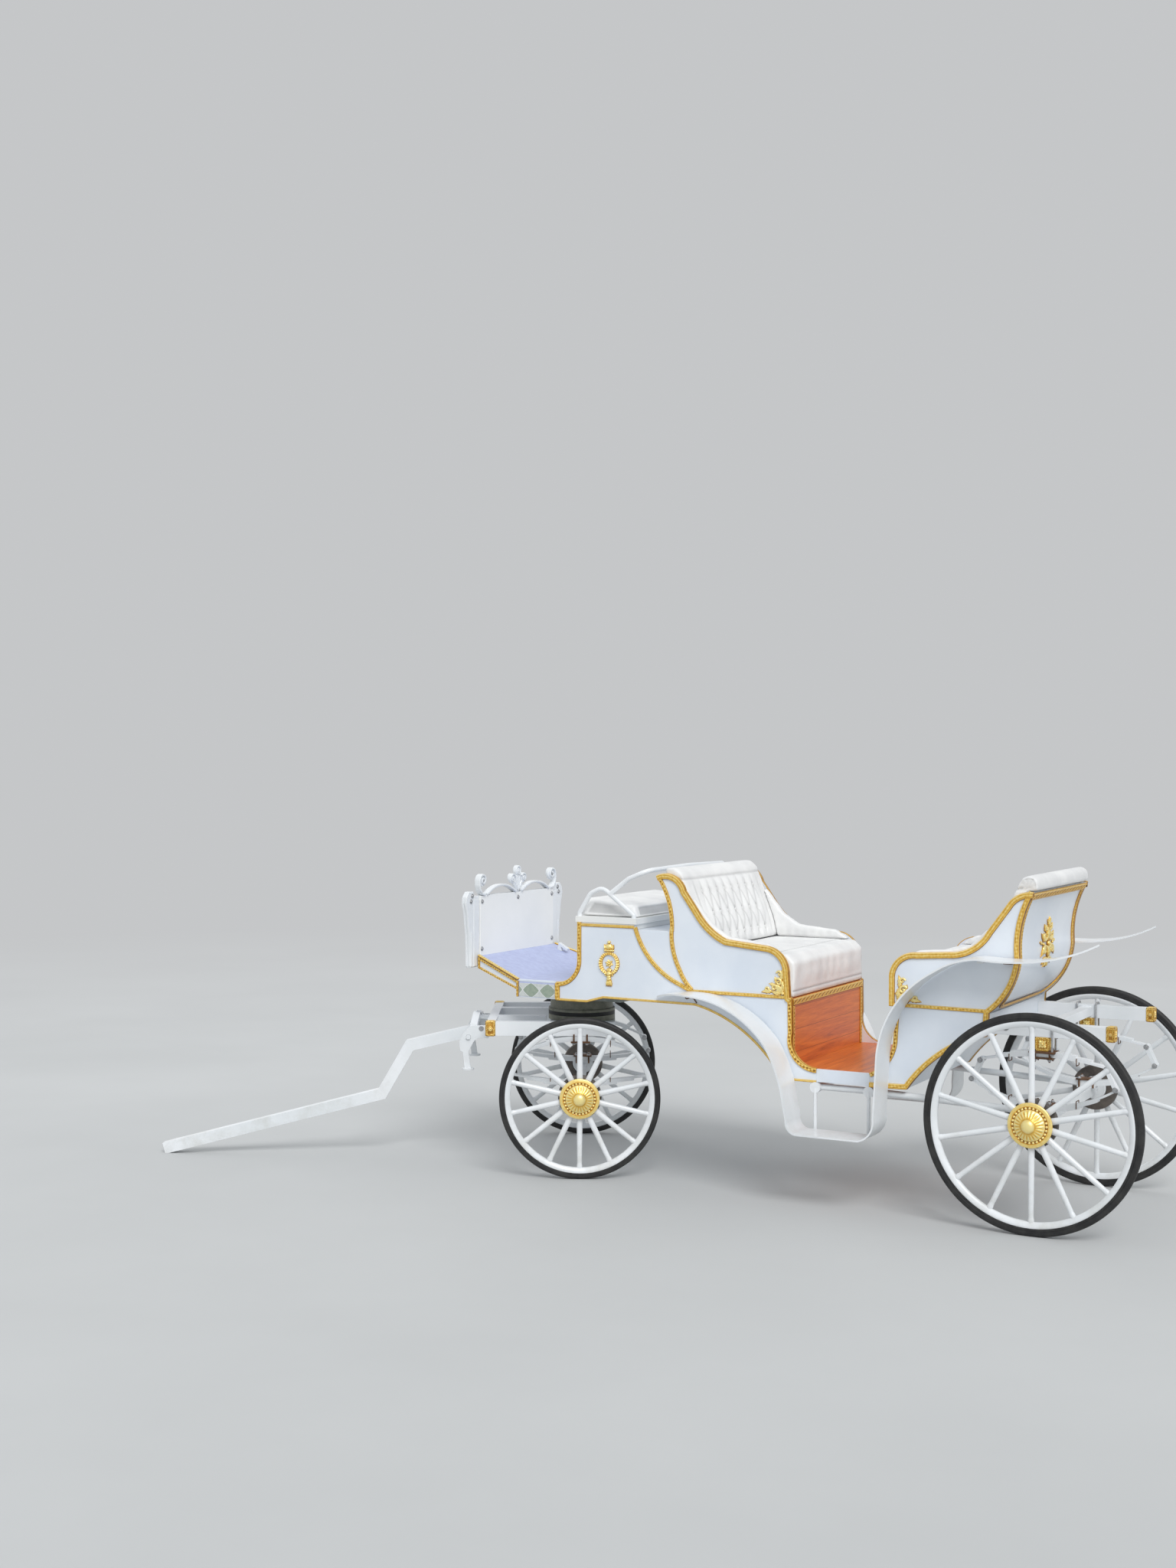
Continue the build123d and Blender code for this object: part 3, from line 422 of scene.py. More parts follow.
def prism(shape, low, high, bevel, place):
    """A plate of the given outline between two depths, its edges bevelled. The outline is moved
    in by the bevel at both faces, and place turns (along, across, depth) into a point."""
    shape = np.array(shape, float)
    before, after = np.roll(shape, 1, 0), np.roll(shape, -1, 0)
    one, two = unit(shape - before), unit(after - shape)
    area = np.sum(before[:, 0] * shape[:, 1] - shape[:, 0] * before[:, 1])
    inward = np.stack([-(one + two)[:, 1], (one + two)[:, 0]], -1) * np.sign(area)
    square = np.stack([-one[:, 1], one[:, 0]], -1) * np.sign(area)
    inward /= np.maximum(np.sum(inward * square, axis=1), 0.2)[:, None]
    inner = shape + inward * bevel
    rows = [(inner, low), (shape, low + bevel), (shape, high - bevel), (inner, high)]
    points = np.stack([place(np.column_stack([s, np.full(len(s), depth)])) for s, depth in rows])
    flat, faces = grid(points)
    count = len(shape)
    faces += [np.arange(count)[None, ::-1], (3 * count + np.arange(count))[None]]
    return flat, faces


def rectangle(x0, y0, x1, y1):
    return [(x0, y0), (x1, y0), (x1, y1), (x0, y1)]


def slab(low, high, bevel):
    """A block between two corners with bevelled edges."""
    return prism(rectangle(*low[:2], *high[:2]), low[2], high[2], bevel, lambda p: p)


def laid(made, change):
    """Pairs of patch and painted shade values, the points of each patch changed by a function."""
    return [((change(points), faces), relief_shade) for (points, faces), relief_shade in made]


@contextmanager
def editing(mesh):
    """A mesh opened for edits, which are written back at the end."""
    work = bmesh.new()
    work.from_mesh(mesh)
    yield work
    work.to_mesh(mesh)
    work.free()


def numbers(items, key, width):
    """A property of all points of a mesh, in rows of the given width."""
    values = np.empty(len(items) * width, np.float32)
    items.foreach_get(key, values)
    return values.reshape(-1, width).astype(float)


def point_normals(mesh):
    return numbers(mesh.vertex_normals, "vector", 3)


def mark(mesh, name, values):
    """Keeps one value for each point of a mesh, for the materials to read."""
    attribute = mesh.attributes.new(name, "FLOAT", "POINT")
    attribute.data.foreach_set("value", values.astype(np.float32))


def in_scene(name, data):
    """A new object in the scene."""
    item = bpy.data.objects.new(name, data)
    bpy.context.scene.collection.objects.link(item)
    return item


def make_piece(name, patches, look, body="carriage_body", place=on_body, sharp=38.0, marks=None):
    """One object from patches: points and faces joined, doubled points merged, faces turned
    outwards, edges sharper than the angle kept crisp, and marks kept as point attributes."""
    starts = np.cumsum([0] + [len(points) for points, faces in patches])
    points = place(np.concatenate([points for points, faces in patches]))
    faces = [f + start for (_, groups), start in zip(patches, starts) for f in groups]
    mesh = bpy.data.meshes.new(name)
    mesh.vertices.add(len(points))
    mesh.vertices.foreach_set("co", points.astype(np.float32).ravel())
    corners = np.concatenate([f.ravel() for f in faces]).astype(np.int32)
    sizes = np.concatenate([np.full(len(f), f.shape[1]) for f in faces])
    mesh.loops.add(len(corners))
    mesh.loops.foreach_set("vertex_index", corners)
    mesh.polygons.add(len(sizes))
    mesh.polygons.foreach_set("loop_start", (np.cumsum(sizes) - sizes).astype(np.int32))
    mesh.update(calc_edges=True)
    for key, values in (marks or {}).items():
        mark(mesh, key, np.concatenate(values))
    return finish_mesh(name, mesh, body, look, sharp)


def finish_mesh(name, mesh, body, look, sharp):
    """Merges doubled points, turns faces outwards, sets shading and makes the object ride."""
    with editing(mesh) as work:
        bmesh.ops.remove_doubles(work, verts=work.verts, dist=1e-6)
        bmesh.ops.recalc_face_normals(work, faces=work.faces)
    mesh.shade_smooth()
    mesh.set_sharp_from_angle(angle=math.radians(sharp))
    material, slot = look
    mesh.materials.append(material)
    piece = in_scene(name, mesh)
    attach(piece, body)
    return piece


def cad_mesh(node, flat=None):
    """A copy of a CAD node's mesh with its triangles joined, and with faces that meet at less
    than the angle flat made into one."""
    mesh = frame["nodes"][node].data.copy()
    mesh.materials.clear()
    with editing(mesh) as work:
        bmesh.ops.remove_doubles(work, verts=work.verts, dist=1e-5)
        if flat:
            limit = math.radians(flat)
            bmesh.ops.dissolve_limit(work, angle_limit=limit, verts=work.verts, edges=work.edges)
    return mesh


def softened(node, look, bevel=0.0015):
    """A rigid CAD node's own shape with its edges slightly rounded."""
    sharp, body = 32.0, frame["nodes"][node]["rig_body"]
    piece = finish_mesh(node + "_finished", cad_mesh(node, 0.4), body, look, sharp)
    if bevel:
        rounding = piece.modifiers.new("edges", "BEVEL")
        rounding.width, rounding.segments = bevel, 2
        rounding.limit_method, rounding.angle_limit = "ANGLE", math.radians(sharp)
        rounding.harden_normals = True
    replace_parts(piece, node)


# Wheels

SPOKES, CAP_BEADS, CAP_FLUTES = 14, 28, 24


def with_mirror(half, skip=0):
    """A closed profile from its half, whose points from skip on come back at minus their place."""
    return half + [(r, -y) for r, y in reversed(half[skip:])]


def wheel(name, radius, node_centre, ahead, outward):
    """A wheel about its axle: tyre, rim, spokes, hub, drum and gilt cap."""
    def place(p):
        return node_centre + p[..., :1] * ahead + p[..., 1:2] * outward + p[..., 2:] * UP

    on_wheel = {"body": name + "_wheel", "place": place}
    tyre_in = radius * (1 - 0.072)
    rim_in = tyre_in - 0.028
    corner, wall = 0.012, 0.020
    crown = [(radius - corner + corner * math.sin(a), wall - corner + corner * math.cos(a))
             for a in np.linspace(0, np.pi / 2, 6)]
    side = [(tyre_in, 0.0188), (tyre_in + 0.004, wall), (tyre_in + 0.010, wall),
            (tyre_in + 0.0115, wall - 0.0012), (tyre_in + 0.013, wall)]
    half = side + crown + [(radius, 0.003), (radius - 0.0012, 0.0015)]
    tyre = make_piece(f"tyre_{name}_rubber", [turned(with_mirror(half), 144)], TYRE, **on_wheel)
    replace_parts(tyre, "tyre_" + name)

    half = [(rim_in, 0.0), (rim_in + 0.0005, 0.008), (rim_in + 0.004, 0.0125), (tyre_in - 0.012, 0.0165),
            (tyre_in - 0.008, 0.018), (tyre_in - 0.0015, 0.018), (tyre_in, 0.0172)]
    hub = [(0.0208, -0.065), (0.052, -0.065), (0.058, -0.060), (0.058, -0.030), (0.0615, -0.024),
           (0.0615, 0.020), (0.057, 0.0236), (0.0208, 0.0236)]
    patches = [turned(with_mirror(half, 1), 144), turned(hub, 64)]
    reach = np.array([0.050, 0.110, 0.125, rim_in - 0.030, rim_in - 0.016, rim_in - 0.012, rim_in + 0.004])
    width = np.array([0.0155, 0.0155, 0.0150, 0.0125, 0.0125, 0.0142, 0.0142])
    for number in range(SPOKES):
        turn = 2 * math.pi * number / SPOKES
        along = np.array([math.sin(turn), 0, -math.cos(turn)])
        patches.append(tube(reach[:, None] * along, width, 14, flat=((0, 1, 0), 0.9)))
    white = make_piece(f"wheel_{name}_painted", patches, WHITE_METAL, **on_wheel)
    drum = [(0.0615, -0.061), (0.100, -0.061), (0.108, -0.058), (0.111, -0.052), (0.111, -0.026),
            (0.106, -0.022), (0.092, -0.0195), (0.0615, -0.0195)]
    make_piece(f"drum_{name}", [turned(drum, 72)], IRON, **on_wheel)
    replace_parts(white, "wheel_" + name)
    hub_cap(name, on_wheel)


def hub_cap(name, on_wheel):
    """A gilt cap: a smooth sloping rim, a ring of beads, a fluted cone and a middle dome. The
    cone's height is waved around the axis as cos(24 a), fading towards both of its edges."""
    base, reach, tall = 0.024, 0.102, 0.056
    rings = np.array([
        (0.0, 1.0), (0.02, 1.0), (0.09, 1.0), (0.13, 0.985), (0.15, 0.95), (0.19, 0.86), (0.20, 0.83),
        (0.17, 0.815), (0.15, 0.80), (0.15, 0.72), (0.17, 0.70), (0.25, 0.695), (0.29, 0.67), (0.36, 0.62),
        (0.44, 0.55), (0.52, 0.47), (0.60, 0.39), (0.66, 0.335), (0.69, 0.315), (0.74, 0.30),
        (0.81, 0.275), (0.88, 0.235), (0.94, 0.18), (0.98, 0.11), (1.0, 0.02)])
    # Painted shade and highlights of the rings: dark in the groove round the beads, light on the raised
    # rings.
    shade = np.array([0.5, 0.6, 0.8, 0.9, 0.85, 0.8, 0.6, 0.4, 0.28, 0.28, 0.4, 0.9, 0.95, 0.9, 0.85, 0.8,
                      0.75, 0.6, 0.55, 0.8, 0.9, 0.9, 0.95, 0.95, 0.95])
    angle = circle(144)
    height, r = rings.T[:, :, None]
    flute = np.exp(-((r - 0.54) / 0.11) ** 2)
    wave = np.cos(CAP_FLUTES * angle)[None]
    along = base + tall * height + 0.0022 * flute * wave
    points = np.stack([reach * r * np.cos(angle), along, reach * r * np.sin(angle)], -1)
    # tone adds painted light and dark stripes along the flutes to the ring shade.
    tone = np.clip(shade[:, None] + 0.35 * flute * wave, 0, 1)
    patches = [grid(points, ends=(0, -1))]
    marks = [np.concatenate([tone.ravel(), [0.5, 0.95]])]
    latitude = np.linspace(0, np.pi / 2, 5)
    around = angle[::18]
    dome = np.stack([np.outer(np.cos(latitude), np.cos(around)), np.outer(np.sin(latitude), 0 * around + 1),
                     np.outer(np.cos(latitude), np.sin(around))], -1)
    for number in range(CAP_BEADS):
        a = 2 * math.pi * number / CAP_BEADS
        centre = np.array([0.76 * reach * math.cos(a), base + tall * 0.15, 0.76 * reach * math.sin(a)])
        bead = grid(centre + 0.0062 * dome, ends=(0,))
        patches.append(bead)
        # The beads get a painted highlight.
        marks.append(np.full(len(bead[0]), 0.95))
    piece = make_piece(f"hub_cap_{name}_gilt", patches, GILT, sharp=50, marks={"relief_shade": marks}, **on_wheel)
    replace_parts(piece, "hub_cap_" + name)


FORWARD, LEFT = np.eye(3)[:2]
for name, radius, centre, ahead, outward in (
        ("rear_left", REAR_R, rear_left, FORWARD, LEFT), ("rear_right", REAR_R, rear_right, FORWARD, -LEFT),
        ("front_left", FRONT_R, front_left, gear_ahead, gear_left),
        ("front_right", FRONT_R, front_right, gear_ahead, -gear_left)):
    wheel(name, radius, centre, ahead, outward)

# Rigid nodes that keep their shape

for look, nodes in (
        (WHITE, """side_panel_front_left side_panel_front_right side_panel_rear_left
         side_panel_rear_right door_sills front_seat_deck rear_seat_deck front_belly rear_belly
         front_seat_back rear_seat_back driver_box_front driver_deck footboard_skirt"""),
        (WHITE_METAL, """foot_brake fender_left fender_right chassis_rails underfloor_tubes
         rear_springs front_springs rear_axle front_axle gear_frame hitch_brackets pole"""),
        (FLOOR_WOOD, "passenger_floor"), (RISER_WOOD, "front_riser rear_riser"),
        (BOARD_WHITE, "driver_seat_base"), (DASH_WHITE, "dash_panel"), (MAT, "footboard"),
        (GREY, "box_mounting_plate"), (OLIVE, "turntable_upper turntable_lower")):
    for node in nodes.split():
        softened(node, look)
softened("dash_frame", WHITE_METAL, 0.004)
softened("driver_rails", WHITE_METAL, 0)

# Mouldings

# A strip's point spacing, its reach below a surface and round an edge, and half the body's width
STRIP_STEP = 0.0036
SUNK = 0.0004
WRAP = 0.017
HALF = 0.490


def emboss(t, along, step=0.026, carved=1.0):
    """Height and painted shade across a strip, t from -1 to 1: two plain beads beside a middle that is
    carved with scrolls, repeated every step along it. carved fades the scrolls from 1 to 0. The
    shade is painted light: light on the beads and the raised carving, dark in the carved hollows and
    at the edges, and where there is less carving a light line down the middle between two dark lines."""
    body = np.sqrt(np.clip(1 - t ** 2, 0, 1)) ** 0.6
    beads = 0.16 * np.exp(-((np.abs(t) - 0.72) / 0.13) ** 2)
    phase = 2 * np.pi * along[:, None] / step
    swirl = np.sin(phase + 2.4 * t) * np.cos(0.5 * phase - 3.1 * t)
    carve = carved * np.exp(-(t / 0.52) ** 4)
    # Painted light and painted shade lines along smooth strips.
    ridge = 0.30 * np.exp(-(t / 0.4) ** 2) - 0.25 * np.exp(-((np.abs(t) - 0.45) / 0.08) ** 2)
    rise = 0.78 * body + beads + 0.24 * carve * swirl - 0.08 * carve
    # Painted highlights and painted shade, darkest at the strip's edges.
    relief_shade = 0.55 + 0.55 * carve * swirl + 1.6 * beads + (1 - carved) * ridge - 0.35 * (np.abs(t) > 0.95)
    return np.maximum(rise, 0), np.clip(relief_shade, 0, 1)


def ribbon(points, shade, ends=(0.4, 0.4)):
    """A patch over rows of points that go round it, with its painted shade values, whose ends are closed."""
    return grid(points, ends=(0, -1)), np.concatenate([shade.ravel(), ends])


def moulding(path, face, width, height, wrap, carved):
    """A gilt strip along a side-view line. wrap carries it round the panel's edge, which then is
    the line itself. Returns the patch and its painted shade values."""
    line, along = spread(path, STRIP_STEP)
    direction = tangents(line)
    inward = np.stack([-direction[:, 1], direction[:, 0]], -1)
    t = np.linspace(-1, 1, 11)
    rise, relief_shade = emboss(t, along, carved=carved)
    across = (t + 1) / 2 * width - 0.004 if wrap else t * width / 2
    sign = 1 if face > 0 else -1
    flat = line[:, None] + across[None, :, None] * inward[:, None]
    top = np.stack([flat[..., 0], face + sign * (height * rise), flat[..., 1]], -1)

    def row(points, under):
        """Side-view points at a depth under the face."""
        return np.stack([points[:, 0], np.full(len(points), face - sign * under), points[:, 1]], -1)[:, None]

    first, last = flat[:, 0], flat[:, -1]
    # The rows round the edge and under the surface get fixed darker values: painted shade.
    if wrap:
        rows = [row(line, wrap), row(first, wrap), top, row(last, SUNK), row(line, SUNK)]
        shade = np.pad(relief_shade, ((0, 0), (2, 2)), constant_values=((0, 0), (0.5, 0.3)))
    else:
        rows = [row(first, SUNK), top, row(last, SUNK)]
        shade = np.pad(relief_shade, ((0, 0), (1, 1)), constant_values=0.25)
    return ribbon(np.concatenate(rows, 1), shade)


front_doorway = outline((1.074, 0.650), (1.172, 0.694, 1.202, 0.810), (1.205, 0.978))
front_arm = outline((1.205, 0.978), (1.215, 0.982), (1.223, 1.100), (1.258, 1.186, 1.340, 1.224),
                    (1.551, 1.245), (1.640, 1.302, 1.700, 1.372), (1.775, 1.478),
                    (1.838, 1.550, 1.931, 1.548))
seat_back_edge = outline((1.931, 1.548), (1.870, 1.425, 1.852, 1.274))
seat_back_face = outline((1.846, 1.290), (1.832, 1.160, 1.800, 1.083), (1.770, 1.030, 1.733, 0.990))
box_edge = outline((2.378, 1.300), (2.378, 1.114), (2.410, 1.022, 2.503, 0.984), (2.503, 0.896))
box_foot = outline((2.503, 0.896), (2.326, 0.896), (2.230, 0.922), (1.720, 0.918),
                   (1.478, 0.818, 1.252, 0.588), (1.074, 0.588))
box_top_line = [(2.366, 1.287), (2.055, 1.287)]
diagonal = outline((2.050, 1.287), (1.962, 1.127, 1.800, 1.013), (1.737, 0.984))
arm_foot = [(1.737, 0.984), (1.217, 0.984)]
rear_doorway = outline((0.805, 0.650), (0.708, 0.738, 0.684, 0.832), (0.676, 0.978))
rear_arm = outline((0.708, 0.978), (0.708, 1.120), (0.672, 1.195, 0.577, 1.229), (0.423, 1.239),
                   (0.318, 1.266, 0.238, 1.346), (0.150, 1.466), (0.098, 1.516, 0.028, 1.530))
rear_back_edge = outline((0.028, 1.530), (0.082, 1.390, 0.092, 1.230), (0.128, 1.098, 0.234, 0.972),
                         (0.242, 0.866), (0.470, 0.752, 0.623, 0.592), (0.805, 0.588))
rear_foot = [(0.708, 0.984), (0.250, 0.980)]


def gild(name, made, body="carriage_body", place=on_body):
    """One gilt piece from pairs of patch and painted shade, with painted shade on its undersides and painted
    light on its upper sides.
    """
    marks = {"relief_shade": [relief_shade for _, relief_shade in made]}
    piece = make_piece(name, [patch for patch, _ in made], GILT, body, place, 50, marks)
    relief_shade = piece.data.attributes["relief_shade"].data
    # Painted light: each point is lightened as it faces up and darkened as it faces down.
    lit = numbers(relief_shade, "value", 1)[:, 0] + 0.30 * point_normals(piece.data)[:, 2]
    relief_shade.foreach_set("value", np.clip(lit, 0, 1).astype(np.float32))
    return piece


# Strips of each name on both sides, as line, width, height, wrap and carving
for name, rows in (
        ("front_gilt_mouldings", [
            (front_doorway[::-1], 0.024, 0.008, WRAP, 1.0), (front_arm[::-1], 0.030, 0.012, WRAP, 0.15),
            (seat_back_edge[::-1], 0.022, 0.009, WRAP, 0.7), (seat_back_face, 0.022, 0.009, 0, 0.5),
            (box_edge[::-1], 0.024, 0.009, WRAP, 0.6), (box_foot[::-1], 0.012, 0.006, WRAP, 0.0),
            (box_top_line, 0.016, 0.006, 0, 0.0), (diagonal, 0.022, 0.009, 0, 0.3),
            (arm_foot, 0.018, 0.008, 0, 0.3)]),
        ("rear_gilt_mouldings", [
            (rear_doorway, 0.022, 0.008, WRAP, 1.0), (rear_arm, 0.030, 0.012, WRAP, 0.15),
            (rear_back_edge, 0.026, 0.011, WRAP, 0.35), (rear_foot, 0.018, 0.008, 0, 0.5)])):
    gild(name, [moulding(path, face, *shape) for path, *shape in rows for face in (HALF, -HALF)])

# Gilt strips on other surfaces


def strip(path, out, width, height, step=0.026):
    """A gilt strip along points in space, standing out along the given direction or directions."""
    line, along = spread(path, max(STRIP_STEP, step / 6))
    outs = np.broadcast_to(np.array(out, float), (len(path), 3))
    run = run_of(np.array(path, float))
    up = unit(np.stack([np.interp(along, run, column) for column in outs.T], -1))
    across = unit(np.cross(tangents(line), up))
    t = np.linspace(-1, 1, 11 if width > 0.013 else 7)
    # Painted highlights and painted shade across the strip; its buried edges get a dark painted value.
    rise, relief_shade = emboss(t, along, step)
    line, across, up = line[:, None], across[:, None], up[:, None]
    top = line + across * (t * width / 2)[None, :, None] + up * (rise * height)[..., None]
    edges = [line + side * across * width / 2 - SUNK * up for side in (-1, 1)]
    points = np.concatenate([edges[0], top, edges[1]], 1)
    return ribbon(points, np.pad(relief_shade, ((0, 0), (1, 1)), constant_values=0.25))


trims = []
for x, way in ((1.205, -1), (0.680, 1)):
    trims.append(strip([(x, -0.470, 0.960), (x, 0.470, 0.960)], (way, 0, 0), 0.034, 0.009))
    for y in (0.459, -0.459):
        trims.append(strip([(x, y, 0.652), (x, y, 0.942)], (way, 0, 0), 0.022, 0.007))
gild("riser_trim", trims)

# The rear seat back's outer face in side view, from its top down, and its directions outwards
shell = spread(outline((0.034, 1.526), (0.085, 1.390, 0.096, 1.230), (0.132, 1.098, 0.240, 0.972)), 0.004)[0]
shell_down = tangents(shell)
shell_out = np.stack([shell_down[:, 1], -shell_down[:, 0]], -1)
SHELL_LONG = np.sum(np.linalg.norm(np.diff(shell, axis=0), axis=1))
SHELL_MID = 0.275


def on_shell(y, s, h):
    """A point on the rear shell: y to the left, s down along it from the top, h outwards."""
    at = np.linspace(0, 1, len(shell)) * SHELL_LONG
    y, s, h = np.broadcast_arrays(y, s, h)
    x, z, out_x, out_z = (np.interp(s, at, column) for column in (*shell.T, *shell_out.T))
    return np.stack([x + h * out_x, y, z + h * out_z], -1)


def shell_strip(places, width, height, step):
    """A gilt strip laid on the rear shell along places of (y, s)."""
    places, _ = spread(places, 0.006)
    foot, lifted = (on_shell(*places.T, h) for h in (0.0, 1.0))
    return strip(foot, lifted - foot, width, height, step)


corner = [(0.452 - 0.16 * (1 - math.cos(a)), SHELL_LONG - 0.19 + 0.17 * math.sin(a))
          for a in np.linspace(0, np.pi / 2, 12)]
border = [(0.452, 0.03)] + corner
border = border + [(-y, s) for y, s in reversed(border)]
gild("rear_shell_trim", [shell_strip([(0.474, 0.016), (-0.474, 0.016)], 0.036, 0.014, 0.03),
                         shell_strip(border, 0.024, 0.009, 0.024)])

slope = 0.075 / 0.290
skirt_out = np.array([slope, 1.0, 0.0]) / math.hypot(slope, 1.0)
foot_trim = [strip([low, high], out, width, height) for low, high, out, width, height in (
    ((2.732, 0.484, 0.9842), (3.019, 0.410, 1.0872), (0, 0, 1), 0.022, 0.010),
    ((2.736, 0.4895, 0.973), (3.020, 0.4161, 1.076), skirt_out, 0.014, 0.006),
    ((2.736, 0.4895, 0.9385), (3.019, 0.4163, 1.0285), skirt_out, 0.013, 0.006),
    ((3.0135, 0.4178, 1.030), (3.0135, 0.4178, 1.080), skirt_out, 0.014, 0.006),
    ((2.7335, 0.4898, 0.898), (2.7335, 0.4898, 0.980), (0.5, 1, 0), 0.016, 0.008),
    ((2.504, 0.4905, 0.898), (2.504, 0.4905, 0.980), (0, 1, 0), 0.014, 0.006))]
gild("footboard_trim", foot_trim + laid(foot_trim, lambda p: p * [1, -1, 1]))

# Thin plates on both sides, from x and z low to high, between two distances from the middle
for name, shape, depth, bevel, look in (
        ("skirt_lattice_panels", (2.514, 0.902, 2.724, 0.970), (0.4885, 0.4925), 0.0008, LATTICE),
        ("footboard_rims", (2.510, 0.978, 2.728, 0.9885), (0.470, 0.4915), 0.0015, WHITE)):
    make_piece(name, [prism(rectangle(*shape), *depth, bevel, lambda p: p[:, [0, 2, 1]] * [1, side, 1])
                      for side in (1, -1)], look)

# Carved ornaments, drawn on a flat face as (across, up, outwards)


def leaf(base, tip, wide, thick, lobes, curl=0.0, rows=13, columns=7):
    """A leaf from base to tip: its half width is wide sin(pi u^0.8) with lobes cut into it, and its
    height thick (1 - t^2) with a sunk middle vein. curl bends its middle line sideways."""
    base, tip = np.array(base, float), np.array(tip, float)
    u = np.linspace(0, 1, rows)[:, None]
    t = np.linspace(-1, 1, columns)[None]
    run = tip - base
    side = np.array([-run[1], run[0]]) / np.linalg.norm(run)
    spine = base + u * run + curl * np.sin(np.pi * u) * side
    lobed = 1 + 0.22 * np.sin(2 * np.pi * lobes * u) * np.clip(2 - 2 * u, 0, 1)
    half = wide * (np.sin(np.pi * u ** 0.8) + 0.06) * lobed
    vein = 1 - 0.35 * np.exp(-(t / 0.16) ** 2)
    height = thick * (np.sin(np.pi * (0.12 + 0.80 * u)) * (1 - t ** 2) ** 0.7 * vein
                      + 0.25 * (1 - np.abs(t)) * np.cos(2 * np.pi * lobes * u) ** 2)
    flat = spine[:, None, :] + (half * t)[..., None] * side
    top = np.concatenate([flat, height[..., None]], -1)
    under = np.concatenate([flat[:, [-2, 1]], np.full((rows, 2, 1), -0.001)], -1)
    # Painted shade: darker where the leaf is low and on its underside, lighter on its raised parts.
    relief_shade = np.clip(0.25 + 0.85 * height / thick, 0, 1)
    shade = np.concatenate([relief_shade, np.full((rows, 2), 0.1)], 1)
    return ribbon(np.concatenate([top, under], 1), shade, (0.3, 0.6))


def leaves(*rows, s=1):
    """Leaves from rows of base, tip, half width, thickness, lobes and curl. s -1 mirrors them."""
    return [leaf((s * a, b), (s * c, d), wide, thick, lobes, s * curl)
            for a, b, c, d, wide, thick, lobes, curl in rows]


def scroll(centre, start, turns, radius, thick, hand):
    """A spiral rod winding in to centre: its distance is radius exp(-1.35 turn), and its thickness
    falls from thick to a thin end."""
    end = 0.0022
    turn = np.linspace(0, turns, int(40 * turns) + 8)
    r = radius * np.exp(-1.35 * turn)
    angle = math.radians(start) + hand * 2 * np.pi * turn
    left = np.clip(0.15 + 0.85 * (1 - turn / turns), 0, 1)
    size = end + (thick - end) * np.sin(np.pi * left / 2 * 1.3) ** 1.2
    path = np.stack([centre[0] + r * np.cos(angle), centre[1] + r * np.sin(angle), 0.5 * size + 0.0005], -1)
    points, faces = tube(path, size, 10, flat=((0, 0, 1), 0.9))
    # Painted shade, lighter where the rod stands higher.
    return (points, faces), np.clip(0.35 + 0.6 * points[:, 2] / (1.3 * thick), 0, 1)


def scrolls(*rows, s=1):
    """Scrolls from rows of centre, first angle, turns, radius, thickness and hand. s -1 mirrors
    them."""
    return [scroll((s * a, b), 90 + s * (start - 90), turns, radius, thick, s * hand)
            for a, b, start, turns, radius, thick, hand in rows]


def ball(centre, radius, flat):
    """A round boss: a sphere of the given radius, its outward depth scaled by flat."""
    polar = np.linspace(0.06, np.pi - 0.06, 8)[:, None]
    around = circle(12)
    points = np.stack([centre[0] + radius * np.sin(polar) * np.cos(around),
                       centre[1] + radius * np.sin(polar) * np.sin(around),
                       centre[2] + flat * radius * np.cos(polar) + 0 * around], -1)
    points, faces = grid(points, ends=(0, -1))
    # Painted shade, lighter towards the boss's top.
    return (points, faces), np.clip(0.5 + 0.5 * (points[:, 2] - centre[2]) / (flat * radius), 0, 1)


def acanthus(flip):
    """A corner ornament 125 mm each way: a scroll and leaves along the foot and up the edge,
    joined by a leaf in the corner. Its corner is at (0, 0); it runs to -across and up."""
    parts = leaves((-0.004, 0.004, -0.052, 0.050, 0.020, 0.010, 3, 0),
                   (-0.012, 0.006, -0.070, 0.014, 0.013, 0.009, 3, 0.004),
                   (-0.058, 0.012, -0.122, 0.006, 0.011, 0.007, 4, -0.004),
                   (-0.006, 0.012, -0.016, 0.074, 0.013, 0.009, 3, -0.004),
                   (-0.012, 0.062, -0.008, 0.128, 0.011, 0.007, 4, 0.004))
    parts += scrolls((-0.052, 0.030, -60, 1.35, 0.022, 0.006, 1),
                     (-0.030, 0.058, 150, 1.35, 0.022, 0.006, -1),
                     (-0.092, 0.022, -80, 1.2, 0.016, 0.0048, 1),
                     (-0.026, 0.100, 170, 1.2, 0.016, 0.0048, -1))
    parts += leaves((-0.048, 0.044, -0.082, 0.050, 0.008, 0.006, 2, 0),
                    (-0.042, 0.050, -0.050, 0.086, 0.008, 0.006, 2, 0))
    return laid(parts + [ball((-0.006, 0.006, 0.006), 0.008, 0.9)], lambda p: p * [flip, 1, 1])


